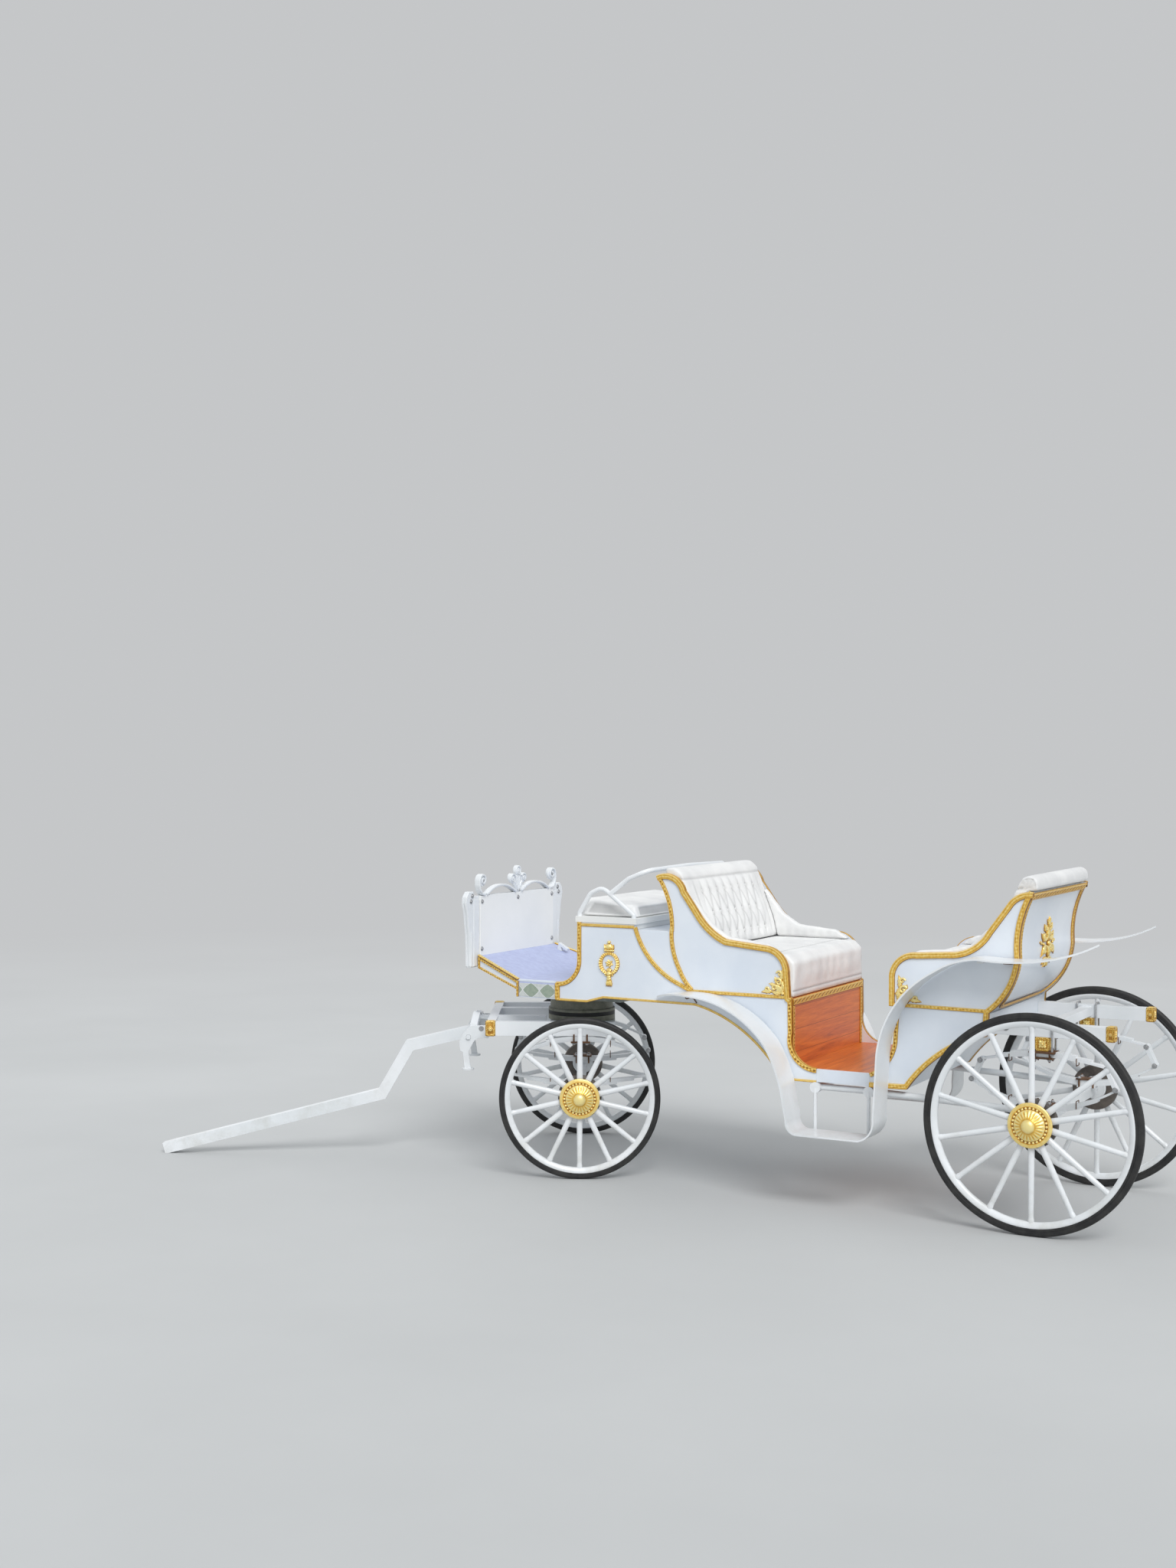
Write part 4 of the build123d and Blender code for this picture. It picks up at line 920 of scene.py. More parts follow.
def medallion():
    """A crowned oval wreath 0.28 high: a ring of leaves round a plain field with a blossom, a
    crown of cup, band and five knobs above it, and a tassel below."""
    wreath, petals, parts = 26, 6, []
    for k in range(wreath):
        a = 2 * np.pi * k / wreath
        here = np.array([0.048 * math.cos(a), 0.060 * math.sin(a)])
        along = np.array([-math.sin(a), 1.15 * math.cos(a)]) * 0.013
        out = np.array([math.cos(a), math.sin(a)]) * 0.007
        parts += [leaf(here - along / 2, here + along + out, 0.0085, 0.011, 1),
                  leaf(here - along / 2, here + along - 1.2 * out, 0.0060, 0.008, 1),
                  ball((*(here + 0.9 * out), 0.004), 0.0052, 0.9)]
    for k in range(petals):
        a = 2 * np.pi * k / petals + 0.3
        parts += leaves((0.004 * math.cos(a), 0.004 * math.sin(a), 0.024 * math.cos(a), 0.026 * math.sin(a),
                         0.0078, 0.006, 1, 0))
    parts += [ball((0, 0, 0.004), 0.007, 0.9), leaf((0, -0.026), (0, -0.056), 0.016, 0.009, 3)]
    parts += [ball((x, 0.078, 0.004), 0.0075, 0.8) for x in (-0.022, -0.011, 0.0, 0.011, 0.022)]
    parts += leaves(*((0.009 * k, 0.080, 0.0165 * k, 0.122 - 0.004 * abs(k), 0.0095, 0.013, 1, 0)
                      for k in (-1.6, -0.8, 0, 0.8, 1.6)))
    parts += [ball((0, y, z), radius, flat) for y, z, radius, flat in (
        (0.100, 0.002, 0.020, 0.7), (0.128, 0.004, 0.0095, 0.9), (-0.062, 0.005, 0.015, 0.7),
        (-0.080, 0.004, 0.0115, 0.8), (-0.093, 0.004, 0.0135, 0.6))]
    parts += leaves(*((0.0042 * k, -0.094, 0.0075 * k, -0.140, 0.0060, 0.009, 2, 0) for k in range(-2, 3)))
    return parts + [scroll((s * 0.015, -0.070), -90 - s * 60, 1.1, 0.013, 0.004, -s) for s in (-1, 1)]


def cartouche():
    """An upright spray for the rear shell, 0.27 high: scrolls in pairs, leaves and buds."""
    parts = leaves((0, 0.080, 0, 0.142, 0.014, 0.010, 3, 0), (0, -0.070, 0, -0.130, 0.017, 0.010, 3, 0),
                   (0, 0.010, 0, 0.086, 0.022, 0.013, 4, 0), (0, -0.006, 0, -0.078, 0.022, 0.013, 4, 0))
    parts.append(ball((0, 0, 0.006), 0.013, 0.8))
    for s in (-1, 1):
        parts += scrolls((0.040, 0.040, 180, 1.4, 0.030, 0.0068, 1),
                         (0.044, -0.034, 180, 1.4, 0.032, 0.0068, -1),
                         (0.026, 0.088, 190, 1.2, 0.020, 0.005, 1),
                         (0.028, -0.092, 170, 1.2, 0.022, 0.005, -1), s=s)
        parts += leaves((0.012, 0.014, 0.078, 0.060, 0.016, 0.009, 3, -0.010),
                        (0.012, -0.012, 0.082, -0.066, 0.017, 0.009, 3, 0.010),
                        (0.018, 0.060, 0.050, 0.106, 0.011, 0.008, 3, -0.006),
                        (0.018, -0.070, 0.054, -0.112, 0.012, 0.008, 3, 0.006),
                        (0.060, 0.002, 0.098, 0.014, 0.010, 0.007, 2, 0), s=s)
        parts.append(ball((s * 0.058, 0.0, 0.004), 0.007, 0.8))
        parts += leaves((0.004, 0.104, 0.024, 0.130, 0.007, 0.006, 2, 0),
                        (0.004, -0.100, 0.030, -0.126, 0.008, 0.006, 2, 0), s=s)
    return parts


def on_side_panel(made, x, z, face, tall=1.0):
    """Lays an ornament on a side panel, its across direction running forward."""
    way = math.copysign(1, face)
    return laid(made, lambda p: np.stack([x + p[:, 0], face + way * p[:, 2], z + tall * p[:, 1]], -1))


for hand, face in (("left", HALF), ("right", -HALF)):
    gild("medallion_" + hand, on_side_panel(medallion(), 2.197, 1.097, face, 0.84))
    gild("front_acanthus_" + hand, on_side_panel(acanthus(-1), 1.240, 0.996, face))
    gild("rear_acanthus_" + hand, on_side_panel(acanthus(1), 0.672, 0.996, face))
gild("shell_cartouche", laid(cartouche(), lambda p: on_shell(1.35 * p[:, 0], SHELL_MID - 0.9 * p[:, 1],
                                                             1.2 * p[:, 2])))

# Dash and its crown

DASH_X, CROWN_X = 3.022, 3.030


def bar(path, side, wide, thick):
    """A flat bar along a path. Across it runs the curve (wide c, thick s), with c and s the cosine
    and sine raised to a power below 1, which gives a rectangle with rounded edges."""
    power = 0.35
    path = np.array(path, float)
    side = np.array(side, float)
    other = unit(np.cross(tangents(path), side))
    angle = circle(20) + np.pi / 20
    c, s = (np.sign(f) * np.abs(f) ** power / 2 for f in (np.cos(angle), np.sin(angle)))
    wide, thick = (np.broadcast_to(v, len(path))[:, None, None] for v in (wide, thick))
    points = path[:, None] + wide * c[None, :, None] * side + thick * s[None, :, None] * other[:, None]
    return grid(points, ends=(0, -1))


def crown_line(points):
    """A line of (left, up) in the crown's plane."""
    points = np.array(points, float)
    return np.column_stack([np.full(len(points), CROWN_X), points])


def crown_bar(points, wide, thick):
    return bar(crown_line(points), (1, 0, 0), wide, thick)


def crown_plate(shape, half):
    """A plate of an outline of (left, up) whose faces lie half before and behind the crown's plane."""
    return prism(shape, CROWN_X - half, CROWN_X + half, 0.003, lambda p: p[:, [2, 0, 1]])


def curl(centre, start, turns, radius, hand, tail=()):
    """A ribbon scroll: a path of given points that runs on as a spiral, radius exp(-1.1 turn)."""
    turn = np.linspace(0, turns, int(30 * turns))
    angle = math.radians(start) + hand * 2 * np.pi * turn
    r = radius * np.exp(-1.1 * turn)
    wound = np.stack([centre[0] + r * np.cos(angle), centre[1] + r * np.sin(angle)], -1)
    return np.concatenate([np.reshape(tail, (-1, 2)), wound])


def crown_disc(centre, radius):
    """A round plate behind a curl."""
    a = circle(36)
    return crown_plate(np.stack([centre[0] + radius * np.cos(a), centre[1] + radius * np.sin(a)], -1), 0.009)


TOP_EYE, OUTER_EYE, INNER_EYE = (0, 1.519), (0.371, 1.486), (0.060, 1.481)
crown = []
for s in (1, -1):
    outer, inner = (s * OUTER_EYE[0], OUTER_EYE[1]), (s * INNER_EYE[0], INNER_EYE[1])
    tail = [(s * 0.350, 1.4085), (s * 0.380, 1.414), (s * 0.400, 1.435), (s * 0.408, 1.460)]
    end = curl(outer, 0 if s > 0 else 180, 1.35, 0.037, s, tail)
    crown.append(bar(spread(crown_line(end), 0.004)[0], (1, 0, 0), 0.034, 0.011))
    crown.append(crown_disc(outer, 0.034))
    bow = arc((s * 0.332, 1.4085), (s * 0.172, 1.452), (s * 0.030, 1.409), 30)
    crown.append(crown_bar(bow, 0.034, 0.012))
    crown.append(crown_bar(curl(inner, 90 + 70 * s, 1.5, 0.027, -s), 0.030, 0.009))
    crown.append(crown_disc(inner, 0.026))
    for y, z in ((0.012, 1.490), (0.036, 1.462)):
        stem = [(s * 0.006, 1.410), (s * (0.4 * y + 0.004), 1.436), (s * y, z)]
        crown.append(tube(crown_line(stem), 0.0085, 10, flat=((1, 0, 0), 1.5)))
for hand, wide in ((1, 0.030), (-1, 0.025)):
    crown.append(crown_bar(curl(TOP_EYE, 90, 1.45, 0.026, hand), wide, 0.009))
crown.append(crown_disc(TOP_EYE, 0.026))
fan = [(-0.014, 1.405), (0.014, 1.405), (0.034, 1.434), (0.062, 1.462), (0.034, 1.492), (0, 1.500),
       (-0.034, 1.492), (-0.062, 1.462), (-0.034, 1.434)]
crown.append(crown_plate(fan, 0.008))
for side in (-1, 1):
    for y, z in (TOP_EYE, INNER_EYE, (-INNER_EYE[0], INNER_EYE[1])):
        (points, faces), _ = ball((y, z, 0.009), 0.011, 0.7)
        crown.append((np.stack([CROWN_X + side * points[:, 2], points[:, 0], points[:, 1]], -1), faces))
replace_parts(make_piece("crown_scrolls", crown, WHITE_METAL), "dash_crown")

posts = []
for s in (1, -1):
    for y, wide, low, high in ((0.4215, 0.054, 1.036, 1.384), (0.4665, 0.015, 1.036, 1.215)):
        path = [(DASH_X + 0.0095, s * y, z) for z in np.linspace(low, high, 8)]
        posts.append(bar(path, (0, 1, 0), wide, 0.009))
    edge = np.array([(0.475, 1.036), (0.4765, 1.10), (0.483, 1.21), (0.4935, 1.27), (0.503, 1.33),
                     (0.5165, 1.371), (0.511, 1.400)])
    for depth in (0.017, 0.034):
        path = np.column_stack([np.full(7, DASH_X + depth), s * edge[:, 0], edge[:, 1]])
        posts.append(bar(path, (1, 0, 0), 0.011, 0.007))
make_piece("dash_post_beads", posts, WHITE_METAL)

# Bolts, clamps and U-bolts


def bolt(place, out, radius=0.009, height=0.007):
    """A hexagonal head with a chamfered top on a round washer, standing along a direction."""
    out = np.array(out, float) / np.linalg.norm(out)
    guide = np.array([1.0, 0, 0]) if abs(out[0]) < 0.8 else np.array([0, 0, 1.0])
    one = np.cross(out, guide)
    one /= np.linalg.norm(one)
    two = np.cross(out, one)
    patches = []
    for steps, profile in ((20, [(1.55, 0), (1.55, 0.12), (1.45, 0.22), (0.2, 0.22)]),
                           (6, [(0.9, 0.1), (1.0, 0.2), (1.0, 0.85), (0.86, 1.0), (0.1, 1.0)])):
        a = circle(steps)
        r, h = np.array(profile).T[:, :, None]
        ring = radius * r[..., None] * (np.cos(a)[None, :, None] * one + np.sin(a)[None, :, None] * two)
        patches.append(grid(np.array(place) + ring + height * h[..., None] * out, ends=(0, -1)))
    return patches


def u_bolt(middle_top, half, drop):
    """A bent rod over a rail: a flattened half circle of the given half width, with two straight
    legs."""
    a = np.linspace(0, np.pi, 13)
    bend = np.stack([half * np.cos(a), np.minimum(half * np.sin(a), 0.012) - 0.012], -1)
    legs = np.linspace(drop, 0.018, 5)
    line = np.concatenate([np.stack([np.full(5, half), -legs], -1), bend,
                           np.stack([np.full(5, -half), -legs[::-1]], -1)])
    return tube(np.array(middle_top) + np.pad(line, ((0, 0), (1, 0))), 0.005, 10)


def spring_fittings(kept, y, top_seat, low_seat, eyes, lift):
    """Clamps of one spring: plates and U-bolts at both crowns, and bolts through its four eyes."""
    iron, bolts = kept

    def at(a, c, z):
        return np.array([a, y + c, z])

    for z, way in ((top_seat - 0.027, -1), (low_seat + 0.027, 1)):
        low, high = sorted((z, z + way * 0.009))
        plate = rectangle(-0.050, -0.030, 0.050, 0.030)
        iron.append(prism(plate, low, high, 0.0015, lambda p: p + [0, y, 0]))
        for a in (-0.034, 0.034):
            for c in (-0.0285, 0.0285):
                rod = [at(a, c, z + way * d) for d in (-0.036, 0, 0.022)]
                iron.append(tube(rod, 0.0045, 10))
                bolts += bolt(at(a, c, z + way * 0.009), way * UP, 0.0075, 0.009)
    for q in (1, -1):
        for a, z in eyes:
            for c in (-1, 1):
                bolts += bolt(at(q * a, c * 0.0285, z), (0, c, 0), 0.0085, 0.008)
    clip = [(0.0235, 0), (0.0235, 0.015), (-0.0235, 0.015), (-0.0235, -0.017), (0.0235, -0.017), (0.0235, 0)]
    for a in (-0.155, 0.155):
        for way, base in ((1, top_seat - 0.030 - lift * 0.5), (-1, low_seat + 0.030 + lift * 0.5)):
            iron.append(tube([at(a, c, base + z * way) for c, z in spread(clip, 0.004)[0]], 0.0022, 8))


iron, bolts = on_the_body = [], []
gear_iron, gear_bolts = on_the_gear = [], []
for s in (1, -1):
    spring_fittings(on_the_body, s * 0.400, 0.806, 0.533, ((0.290, 0.745), (0.330, 0.656)), 0.018)
    spring_fittings(on_the_gear, s * 0.410, 0.700, 0.443, ((0.345, 0.578), (0.366, 0.506)), 0.014)
for s in (1, -1):
    for x in (-0.046, 0.046):
        bolts.append(u_bolt((x, s * 0.400, 0.9405), 0.0315, 0.150))
        for c in (-0.0315, 0.0315):
            bolts += bolt((x, s * 0.400 + c, 0.796), -UP, 0.008, 0.009)
    iron.append(slab((-0.060, s * 0.400 - 0.042, 0.797), (0.060, s * 0.400 + 0.042, 0.8058), 0.0015))
    for x, y, z in ((DASH_X, 0.374, 1.373), (DASH_X, 0.376, 1.122), (DASH_X + 0.010, 0.458, 1.406),
                    (DASH_X + 0.010, 0.470, 1.378), (CROWN_X - 0.009, *OUTER_EYE)):
        bolts += bolt((x - 0.0002, s * y, z), (-1, 0, 0), 0.008, 0.006)
    for x in (-0.19, 0.17):
        bolts += bolt((x, s * 0.425, 0.902), (0, s, 0))
hook, _ = spread([(1.768, 0.962), (1.768, 0.950), (1.762, 0.945), (1.753, 0.948), (1.745, 0.952),
                  (1.734, 0.954), (1.722, 0.948), (1.706, 0.927)], 0.003)
for s in (1, -1):
    iron += [tube(np.column_stack([hook[:, 0], np.full(len(hook), s * 0.4935), hook[:, 1]]), 0.0028, 8),
             slab((0.116, s * 0.505 - 0.014, 1.203), (0.158, s * 0.505 + 0.014, 1.212), 0.002)]
bolts += bolt((DASH_X - 0.0002, 0, 1.376), (-1, 0, 0), 0.008, 0.006)
for s in (1, -1):
    for c in (1, -1):
        gear_bolts += bolt((0.524, s * 0.250 + c * 0.007, 0.712), (0, c, 0))
for a in circle(12):
    gear_bolts += bolt(np.array([math.cos(a), math.sin(a), 0]) * 0.161 + [0, 0, 0.7385], -UP, 0.008, 0.007)
make_piece("body_clamps", iron, RUST)
make_piece("body_bolts", bolts, ZINC, sharp=28)
make_piece("gear_clamps", gear_iron, RUST, "front_gear", on_gear)
make_piece("gear_bolts", gear_bolts, ZINC, "front_gear", on_gear, 28)

# Embossed gilt caps


def cap_face(half_a, half_b):
    """Ornament of one face of a cap: a beaded border round a blossom of eight leaves."""
    edge = 0.0065
    a, b = half_a - edge, half_b - edge
    corners = [(-a, -b, 0), (a, -b, 0), (a, b, 0), (-a, b, 0), (-a, -b, 0)]
    made = [strip([p, q], (0, 0, 1), 2 * edge, 0.0032, 0.013) for p, q in zip(corners, corners[1:])]
    small = min(a, b) - edge * 0.6
    for k in range(8):
        turn = 2 * np.pi * k / 8
        reach = small * (1.25 if (k % 2 and min(a, b) > 0.7 * max(a, b)) else 1.0)
        base, tip = ((r * math.cos(turn), r * math.sin(turn)) for r in (0.002, reach))
        made.append(leaf(base, tip, reach * 0.3, 0.0045, 2, 0, 8, 5))
    made.append(ball((0, 0, 0.003), small * 0.3, 0.7))
    return made


def capped(name, node, y, low, high, faces, body="carriage_body", place=on_body):
    """Embossed blocks for a CAD node on both sides, at y from the middle, from (x, z) low to high.
    Each of faces is an outward axis and its sign."""
    made = []
    for s in (1, -1):
        ends = [np.array([x, s * y + side * 0.028, z]) for side, (x, z) in ((-1, low), (1, high))]
        centre, half = (ends[0] + ends[1]) / 2, (ends[1] - ends[0]) / 2
        patch = slab(ends[0] + 0.003, ends[1] - 0.003, 0.003)
        made.append((patch, np.full(len(patch[0]), 0.42)))
        for axis, way in faces:
            one, two = [k for k in (0, 1, 2) if k != axis]
            for (points, quads), relief_shade in cap_face(half[one], half[two]):
                put = np.empty((len(points), 3))
                put[:, one], put[:, two] = centre[one] + points[:, 0], centre[two] + points[:, 1]
                put[:, axis] = centre[axis] + way * (half[axis] - 0.0032 + points[:, 2])
                made.append(((put, quads), relief_shade))
    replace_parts(gild(name, made, body, place), node)


SIDES = [(1, 1), (1, -1)]
ALL_ROUND = SIDES + [(2, 1), (2, -1)]
capped("rail_cap_carving", "rail_caps", 0.400, (-0.327, 0.867), (-0.287, 0.937), [(0, -1)] + ALL_ROUND)
capped("spring_block_carving", "spring_blocks", 0.400, (-0.035, 0.806), (0.035, 0.870),
       [(0, -1), (0, 1)] + SIDES)
capped("gear_cap_carving", "gear_bar_caps", 0.410, (0.440, 0.697), (0.492, 0.775), [(0, 1)] + ALL_ROUND,
       "front_gear", on_gear)

# Padded leather


def body_points(mesh):
    """A mesh's points, measured from the rear axle."""
    return numbers(mesh.vertices, "co", 3) - axle_point


def put_points(mesh, points):
    """Moves a mesh's points to places measured from the rear axle."""
    mesh.vertices.foreach_set("co", (points + axle_point).astype(np.float32).ravel())
    mesh.update()


def baked(piece):
    """The mesh of a piece with its modifiers worked in."""
    bpy.context.view_layer.update()
    return bpy.data.meshes.new_from_object(piece.evaluated_get(bpy.context.evaluated_depsgraph_get()))


def bake(piece):
    """Gives a piece its baked mesh in place of its modifiers."""
    mesh = baked(piece)
    piece.modifiers.clear()
    piece.data = mesh
    return mesh


def padding(node, cap, carve, held, draw_in=0.006, cell=0.0125):
    """A cushion for a CAD solid. Its shape is remeshed, rounded and drawn in, then swells as
    cloth under pressure from inside, each point between 0.45 and 1 times cap, except where held
    says that it rests on something. One subdivision follows, and carve presses the seams in and
    gives the painted shade along them."""
    piece = in_scene(node + "_leather", cad_mesh(node))
    remesh = piece.modifiers.new("remesh", "REMESH")
    remesh.mode, remesh.voxel_size = "VOXEL", cell
    rounding = piece.modifiers.new("rounding", "SMOOTH")
    rounding.factor, rounding.iterations = 0.5, 6
    mesh = bake(piece)
    rest, normal = body_points(mesh), point_normals(mesh)
    free = 1.0 - held(rest, normal)
    start = rest - normal * (draw_in * free)[:, None]
    put_points(mesh, start)
    group = piece.vertex_groups.new(name="resting")
    group.add(np.flatnonzero(free < 0.5).tolist(), 1.0, "REPLACE")
    cloth = piece.modifiers.new("cloth", "CLOTH")
    cloth.settings.use_pressure = True
    cloth.settings.uniform_pressure_force = 4.0
    cloth.settings.quality = 4
    cloth.settings.vertex_group_mass = "resting"
    cloth.settings.effector_weights.gravity = 0.0
    for number in range(1, 21):
        bpy.context.scene.frame_set(number)
    moved_to = body_points(baked(piece))
    piece.modifiers.clear()
    bpy.context.scene.frame_set(1)
    shift = moved_to - start
    short = np.maximum(0.45 * cap - np.sum(shift * normal, axis=1), 0)
    shift += normal * (free * short)[:, None]
    far = np.linalg.norm(shift, axis=1)[:, None]
    put_points(mesh, start + shift * np.minimum(1.0, cap / np.maximum(far, 1e-9)))
    finer = piece.modifiers.new("finer", "SUBSURF")
    finer.levels = finer.render_levels = 1
    mesh = bake(piece)
    points, normal = body_points(mesh), point_normals(mesh)
    # carve gives the depth of the seams and the painted shade along them.
    depth, crease_shade = carve(points, normal)
    points = points - normal * depth[:, None]
    mark(mesh, "crease_shade", np.clip(crease_shade, 0, 1))
    put_points(mesh, points)
    mesh.shade_smooth()
    material, slot = LEATHER
    mesh.materials.append(material)
    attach(piece, "carriage_body")
    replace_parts(piece, node)
    return points


def dip(distance, width):
    """1 on a seam, falling to 0 over its width as exp of minus the square."""
    return np.exp(-(distance / width) ** 2)


def band(value, low, high, soft):
    """1 between low and high, with soft edges."""
    return np.clip((value - low) / soft, 0, 1) * np.clip((high - value) / soft, 0, 1)


def resting(down=False, ahead=0, below=9.0):
    """Where a cushion lies flat: on its underside, its ends, or the side that leans on a back,
    which ends at the height below."""
    def held(points, normal):
        part = np.abs(normal[:, 1]) > 0.9
        if down:
            part |= normal[:, 2] < -0.8
        if ahead:
            part |= (normal[:, 0] * ahead > 0.75) & (points[:, 2] < below)
        return part.astype(float)
    return held


def seat_seams(front, way):
    """Seams of a seat: sewn lines near the edges of its top and low on its front, soft pulls down
    its front and two hollows to sit in. way is 1 where the front looks ahead."""
    def carve(p, n):
        x = (front - p[:, 0]) * way
        y, z = p[:, 1], p[:, 2]
        top, face = n[:, 2] > 0.6, n[:, 0] * way > 0.5
        line = top * (dip(x - 0.105, 0.0045) + dip(np.abs(y) - 0.425, 0.0045) * band(x, 0.1, 0.9, 0.01)
                      + dip(x - 0.44, 0.0045))
        low = face * dip(z - 1.012, 0.004)
        pulls = face * np.sin(2 * np.pi * y / 0.118 + 1.7 * np.sin(9 * y)) * band(z, 1.03, 1.16, 0.05)
        sag = top * band(x, 0.14, 0.42, 0.12) * (dip(y - 0.22, 0.13) + dip(y + 0.22, 0.13))
        puckers = top * dip(x - 0.105, 0.03) * np.sin(2 * np.pi * y / 0.034)
        # The second value is painted shade along the sewn lines and the pulls.
        return (0.005 * line + 0.004 * low + 0.0022 * pulls + 0.006 * sag + 0.0007 * puckers,
                0.55 * line + 0.7 * low + 0.10 * pulls)
    return carve


COLUMN, ROW, MIDDLE_ROW = 0.045, 0.110, 1.36


def buttons():
    """Places of the buttons on a back: rows half a step apart from each other."""
    return [(COLUMN * a, MIDDLE_ROW + ROW * b) for b in (-1, 0, 1) for a in range(-7, 8) if (a + b) % 2 == 0]


def tufted(way, top):
    """A deep-buttoned back: folds run between the buttons of neighbouring rows, and straight up
    and down from the outer rows. In steps a across and b up, a fold lies where a + b or a - b is
    even. way is 1 where the face looks ahead."""
    def carve(p, n):
        y, z = p[:, 1], p[:, 2]
        a, b = y / COLUMN, (z - MIDDLE_ROW) / ROW
        folds = [np.abs(s / 2 - np.round(s / 2)) * 2 * COLUMN for s in (a + b, a - b)]
        straight = np.abs((a + 1) / 2 - np.round((a + 1) / 2)) * 2 * COLUMN
        near = np.where(np.abs(b) <= 1, np.minimum(*folds), straight)
        spots = np.array(buttons())
        gap = np.min(np.hypot(y[:, None] - spots[:, 0], z[:, None] - spots[:, 1]), axis=1)
        area = (n[:, 0] * way > 0.35) * band(np.abs(y), -1, 0.345, 0.03) * band(b, -1.55, 1.62, 0.35)
        pillow = 1 - np.cos(np.pi * np.clip(near / COLUMN, 0, 1))
        border = (n[:, 0] * way > 0.3) * dip(np.abs(y) - 0.385, 0.005) * band(z, 1.2, top, 0.05)
        roll = (n[:, 0] * way > 0.0) * dip(z - top, 0.006)
        sunk = 0.0035 * dip(near, 0.006) + 0.013 * dip(gap, 0.014) - 0.0035 * pillow
        # dark is painted shade in the folds and the button dimples.
        dark = 0.30 * dip(near, 0.006) + 0.75 * dip(gap, 0.013)
        # The border and the roll get painted shade too.
        return area * sunk + 0.004 * border + 0.004 * roll, area * dark + 0.45 * border + 0.4 * roll
    return carve


def gathered(way, top, crown):
    """A buttoned back with a fat roll along its top, whose ends are gathered in pleats."""
    back = tufted(way, top)

    def carve(p, n):
        depth, crease_shade = back(p, n)
        reach = np.clip((np.abs(p[:, 1]) - 0.40) / 0.07, 0, 1)
        end = reach ** 2 * np.clip((p[:, 2] - crown + 0.09) / 0.03, 0, 1)
        turn = np.arctan2(p[:, 2] - crown + 0.05, p[:, 0] - 0.062)
        pleat = np.cos(9 * turn)
        # The pleats get painted shade on top of the back's.
        return depth + end * (0.0009 * pleat + 0.010 * end ** 2), crease_shade + 0.08 * end * np.clip(pleat, 0, 1)
    return carve


def arm_seams(points, normal):
    """Soft pulls up the inner side of each arm pad."""
    x, y, z = points.T
    pulls = (np.abs(y) < 0.445) * np.sin(2 * np.pi * x / 0.09) * band(z, 1.19, 1.25, 0.03)
    # Painted shade along the pulls.
    return 0.0012 * pulls, 0.12 * np.abs(pulls)


def driver_seams(points, normal):
    """Sunk panels on the rear and the two ends, inside a rim, and a soft crown on top."""
    x, y, z = points.T
    foot, top = 1.3304, 1.388 + 0.030 * (x - x_low) / (x_high - x_low)
    up = (z - foot) / (top - foot)
    side_x, side_y = np.abs(x - (x_low + x_high) / 2 - 0.006), np.abs(y)
    on_end = (np.abs(normal[:, 1]) > 0.6) & (normal[:, 2] < 0.85)
    on_rear = (normal[:, 0] < -0.6) & (normal[:, 2] < 0.85)
    edge = np.where(on_end, 0.150 - 0.045 * up - side_x, 0.415 - 0.020 * up - side_y)
    sunk = (on_end | on_rear) * (np.clip((edge - 0.016) / 0.008, 0, 1) * band(up, 0.14, 0.86, 0.09))
    rise = (normal[:, 2] > 0.8) * np.clip((0.150 - side_x) / 0.12, 0, 1)
    rise = rise * np.clip((0.40 - side_y) / 0.15, 0, 1)
    # The sunk panels get painted shade.
    return 0.0065 * sunk - 0.005 * rise, 0.55 * sunk


low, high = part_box("driver_seat_cushion")
x_low, x_high = low[0] - axle_point[0], high[0] - axle_point[0]
padding("front_seat_cushion", 0.012, seat_seams(1.197, -1), resting(down=True))
padding("rear_seat_cushion", 0.012, seat_seams(0.692, 1), resting(down=True))
front_face = padding("front_back_cushion", 0.012, tufted(-1, 1.535), resting(down=True, ahead=1))
rear_face = padding("rear_back_cushion", 0.010, gathered(1, 1.545, 1.600),
                    resting(down=True, ahead=-1, below=1.53), draw_in=0.004, cell=0.0115)
for node in ("front_arm_pads", "rear_arm_pads"):
    padding(node, 0.009, arm_seams, resting(), draw_in=0.003, cell=0.0095)
padding("driver_seat_cushion", 0.006, driver_seams, resting(down=True), draw_in=0.004, cell=0.0105)


def button_caps(name, face, way):
    """Leather buttons, flattened domes of 9 mm, at the deepest points of a tufted back."""
    latitude = np.linspace(0, np.pi / 2, 5)[:, None]
    around = circle(14)
    patches, marks = [], []
    for y, z in buttons():
        near = face[(np.abs(face[:, 1] - y) < 0.012) & (np.abs(face[:, 2] - z) < 0.012)]
        x = np.max(near[:, 0] * way) * way
        dome = np.stack([x + way * (0.0045 * np.sin(latitude) - 0.006) + 0 * around,
                         y + 0.009 * np.cos(latitude) * np.cos(around),
                         z + 0.009 * np.cos(latitude) * np.sin(around)], -1)
        patch = grid(dome, ends=(0,))
        patches.append(patch)
        # A little painted shade on each button.
        marks.append(np.full(len(patch[0]), 0.12))
    make_piece(name, patches, LEATHER, marks={"crease_shade": marks})


button_caps("front_back_buttons", front_face, -1)
button_caps("rear_back_buttons", rear_face, 1)

# Camera, light and floor

BACKGROUND = (0.56, 0.57, 0.58)

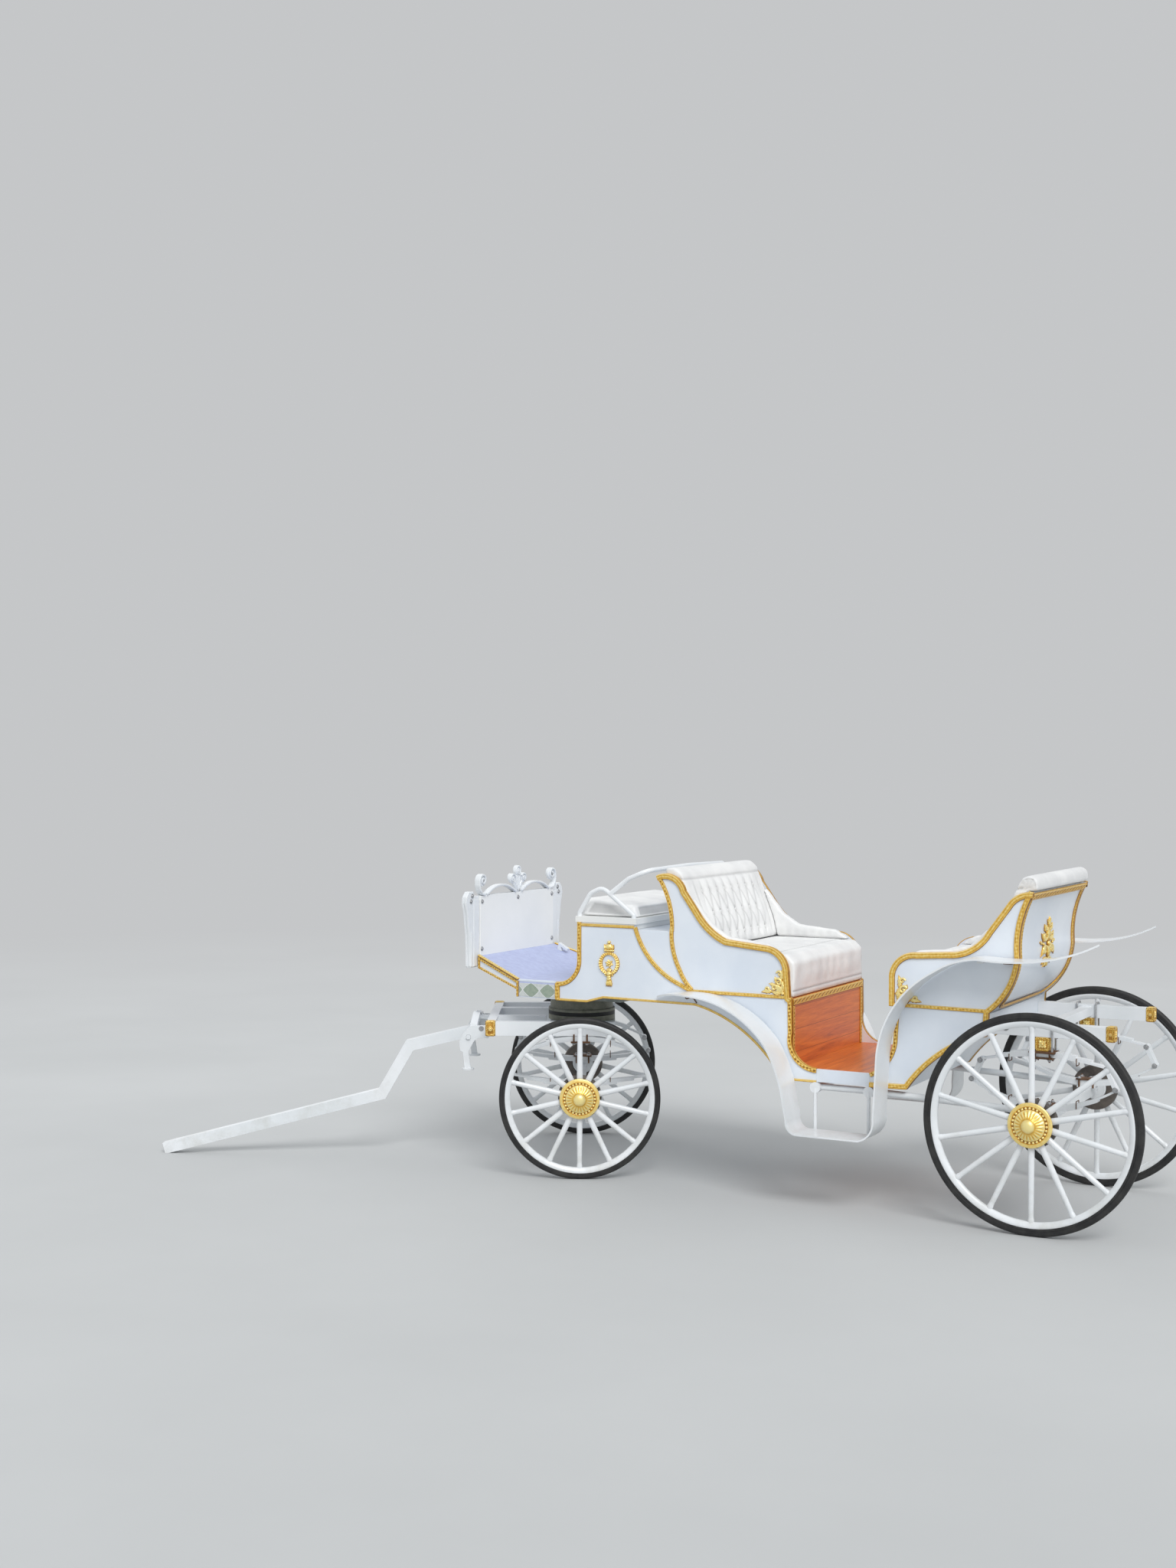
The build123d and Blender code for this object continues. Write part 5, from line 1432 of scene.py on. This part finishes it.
camera_data = bpy.data.cameras.new("photo_camera")
camera_data.lens, camera_data.sensor_width, camera_data.clip_end = 44.61, 36.0, 300.0
camera = in_scene("photo_camera", camera_data)
yaw, pitch, roll = (math.radians(a) for a in (28.46, 0.64, 0.20))
forward = np.array([math.sin(yaw) * math.cos(pitch), -math.cos(yaw) * math.cos(pitch), -math.sin(pitch)])
right = np.cross(forward, UP) / np.linalg.norm(np.cross(forward, UP))
above = np.cross(right, forward)
right, above = (math.cos(roll) * right + math.sin(roll) * above,
                math.cos(roll) * above - math.sin(roll) * right)
eye = axle_point + [-2.387, 9.179, 2.115]
camera.matrix_world = Matrix([*np.column_stack([right, above, -forward, eye]), (0, 0, 0, 1)])
bpy.context.scene.camera = camera


def sun(name, strength, spread_deg, toward):
    lamp = bpy.data.lights.new(name, "SUN")
    lamp.energy, lamp.angle = strength, math.radians(spread_deg)
    in_scene(name, lamp).rotation_euler = Vector(toward).to_track_quat("-Z", "Y").to_euler()


sun("key", 1.8, 28, (0.66, -0.72, -0.95))
sun("fill", 0.35, 60, (-0.7, 0.5, -0.6))

# The camera sees the background's colour, also in gloss, and the rest is lit by a paler sky
world = bpy.data.worlds.new("studio")
bpy.context.scene.world = world
world.use_nodes = True
tree = world.node_tree
seen = tree.nodes["Background"]
seen.inputs["Color"].default_value = (*BACKGROUND, 1)
lit = add_node(tree, "Background", {"Color": (0.94, 0.97, 1.0), "Strength": 0.68})
ray = add_node(tree, "LightPath", {})
looking = ray.outputs["Is Camera Ray"]
for kind in ("Is Glossy Ray", "Is Transmission Ray"):
    looking = add_node(tree, "Math", {0: looking, 1: ray.outputs[kind]}, operation="MAXIMUM").outputs[0]
choose = add_node(tree, "MixShader", {0: looking, 1: lit.outputs[0], 2: seen.outputs[0]})
tree.links.new(choose.outputs[0], tree.nodes["World Output"].inputs["Surface"])


def floor_finish():
    """Pale matt floor that fades into the background's own colour far out, so no edge shows."""
    f = Finish("studio_floor", 0.8)
    f.color(f.ramp(f.noise(0.35, 5), (0.3, (0.50, 0.51, 0.51)), (0.7, (0.55, 0.56, 0.56))))
    f.bump((f.noise(40, 4), 0.001, 0.15))
    far = f.add("Emission", {"Color": BACKGROUND})
    out = f.math("SQRT", f.math("ADD", f.math("POWER", f.axis("X"), 2.0), f.math("POWER", f.axis("Y"), 2.0)))
    fade = f.ramp(f.math("DIVIDE", out, 20.0), (0.28, 0.0), (0.75, 1.0))
    both = f.add("MixShader", {0: fade, 1: f.shader.outputs[0], 2: far.outputs[0]})
    f.tree.links.new(both.outputs[0], f.tree.nodes["Material Output"].inputs["Surface"])
    return f.material


around = circle(96)
reach = np.array([0.01, 4.0, 9.0, 16.0, 120.0])[:, None]
rings = np.stack([reach * np.cos(around), reach * np.sin(around), 0 * reach * around], -1)
points, faces = grid(rings, ends=(0,))
mesh = bpy.data.meshes.new("studio_floor")
mesh.from_pydata(points.tolist(), [], [list(map(int, face)) for group in faces for face in group])
mesh.materials.append(floor_finish())
in_scene("studio_floor", mesh)

bpy.context.scene.view_settings.view_transform = "Standard"

bpy.context.view_layer.update()
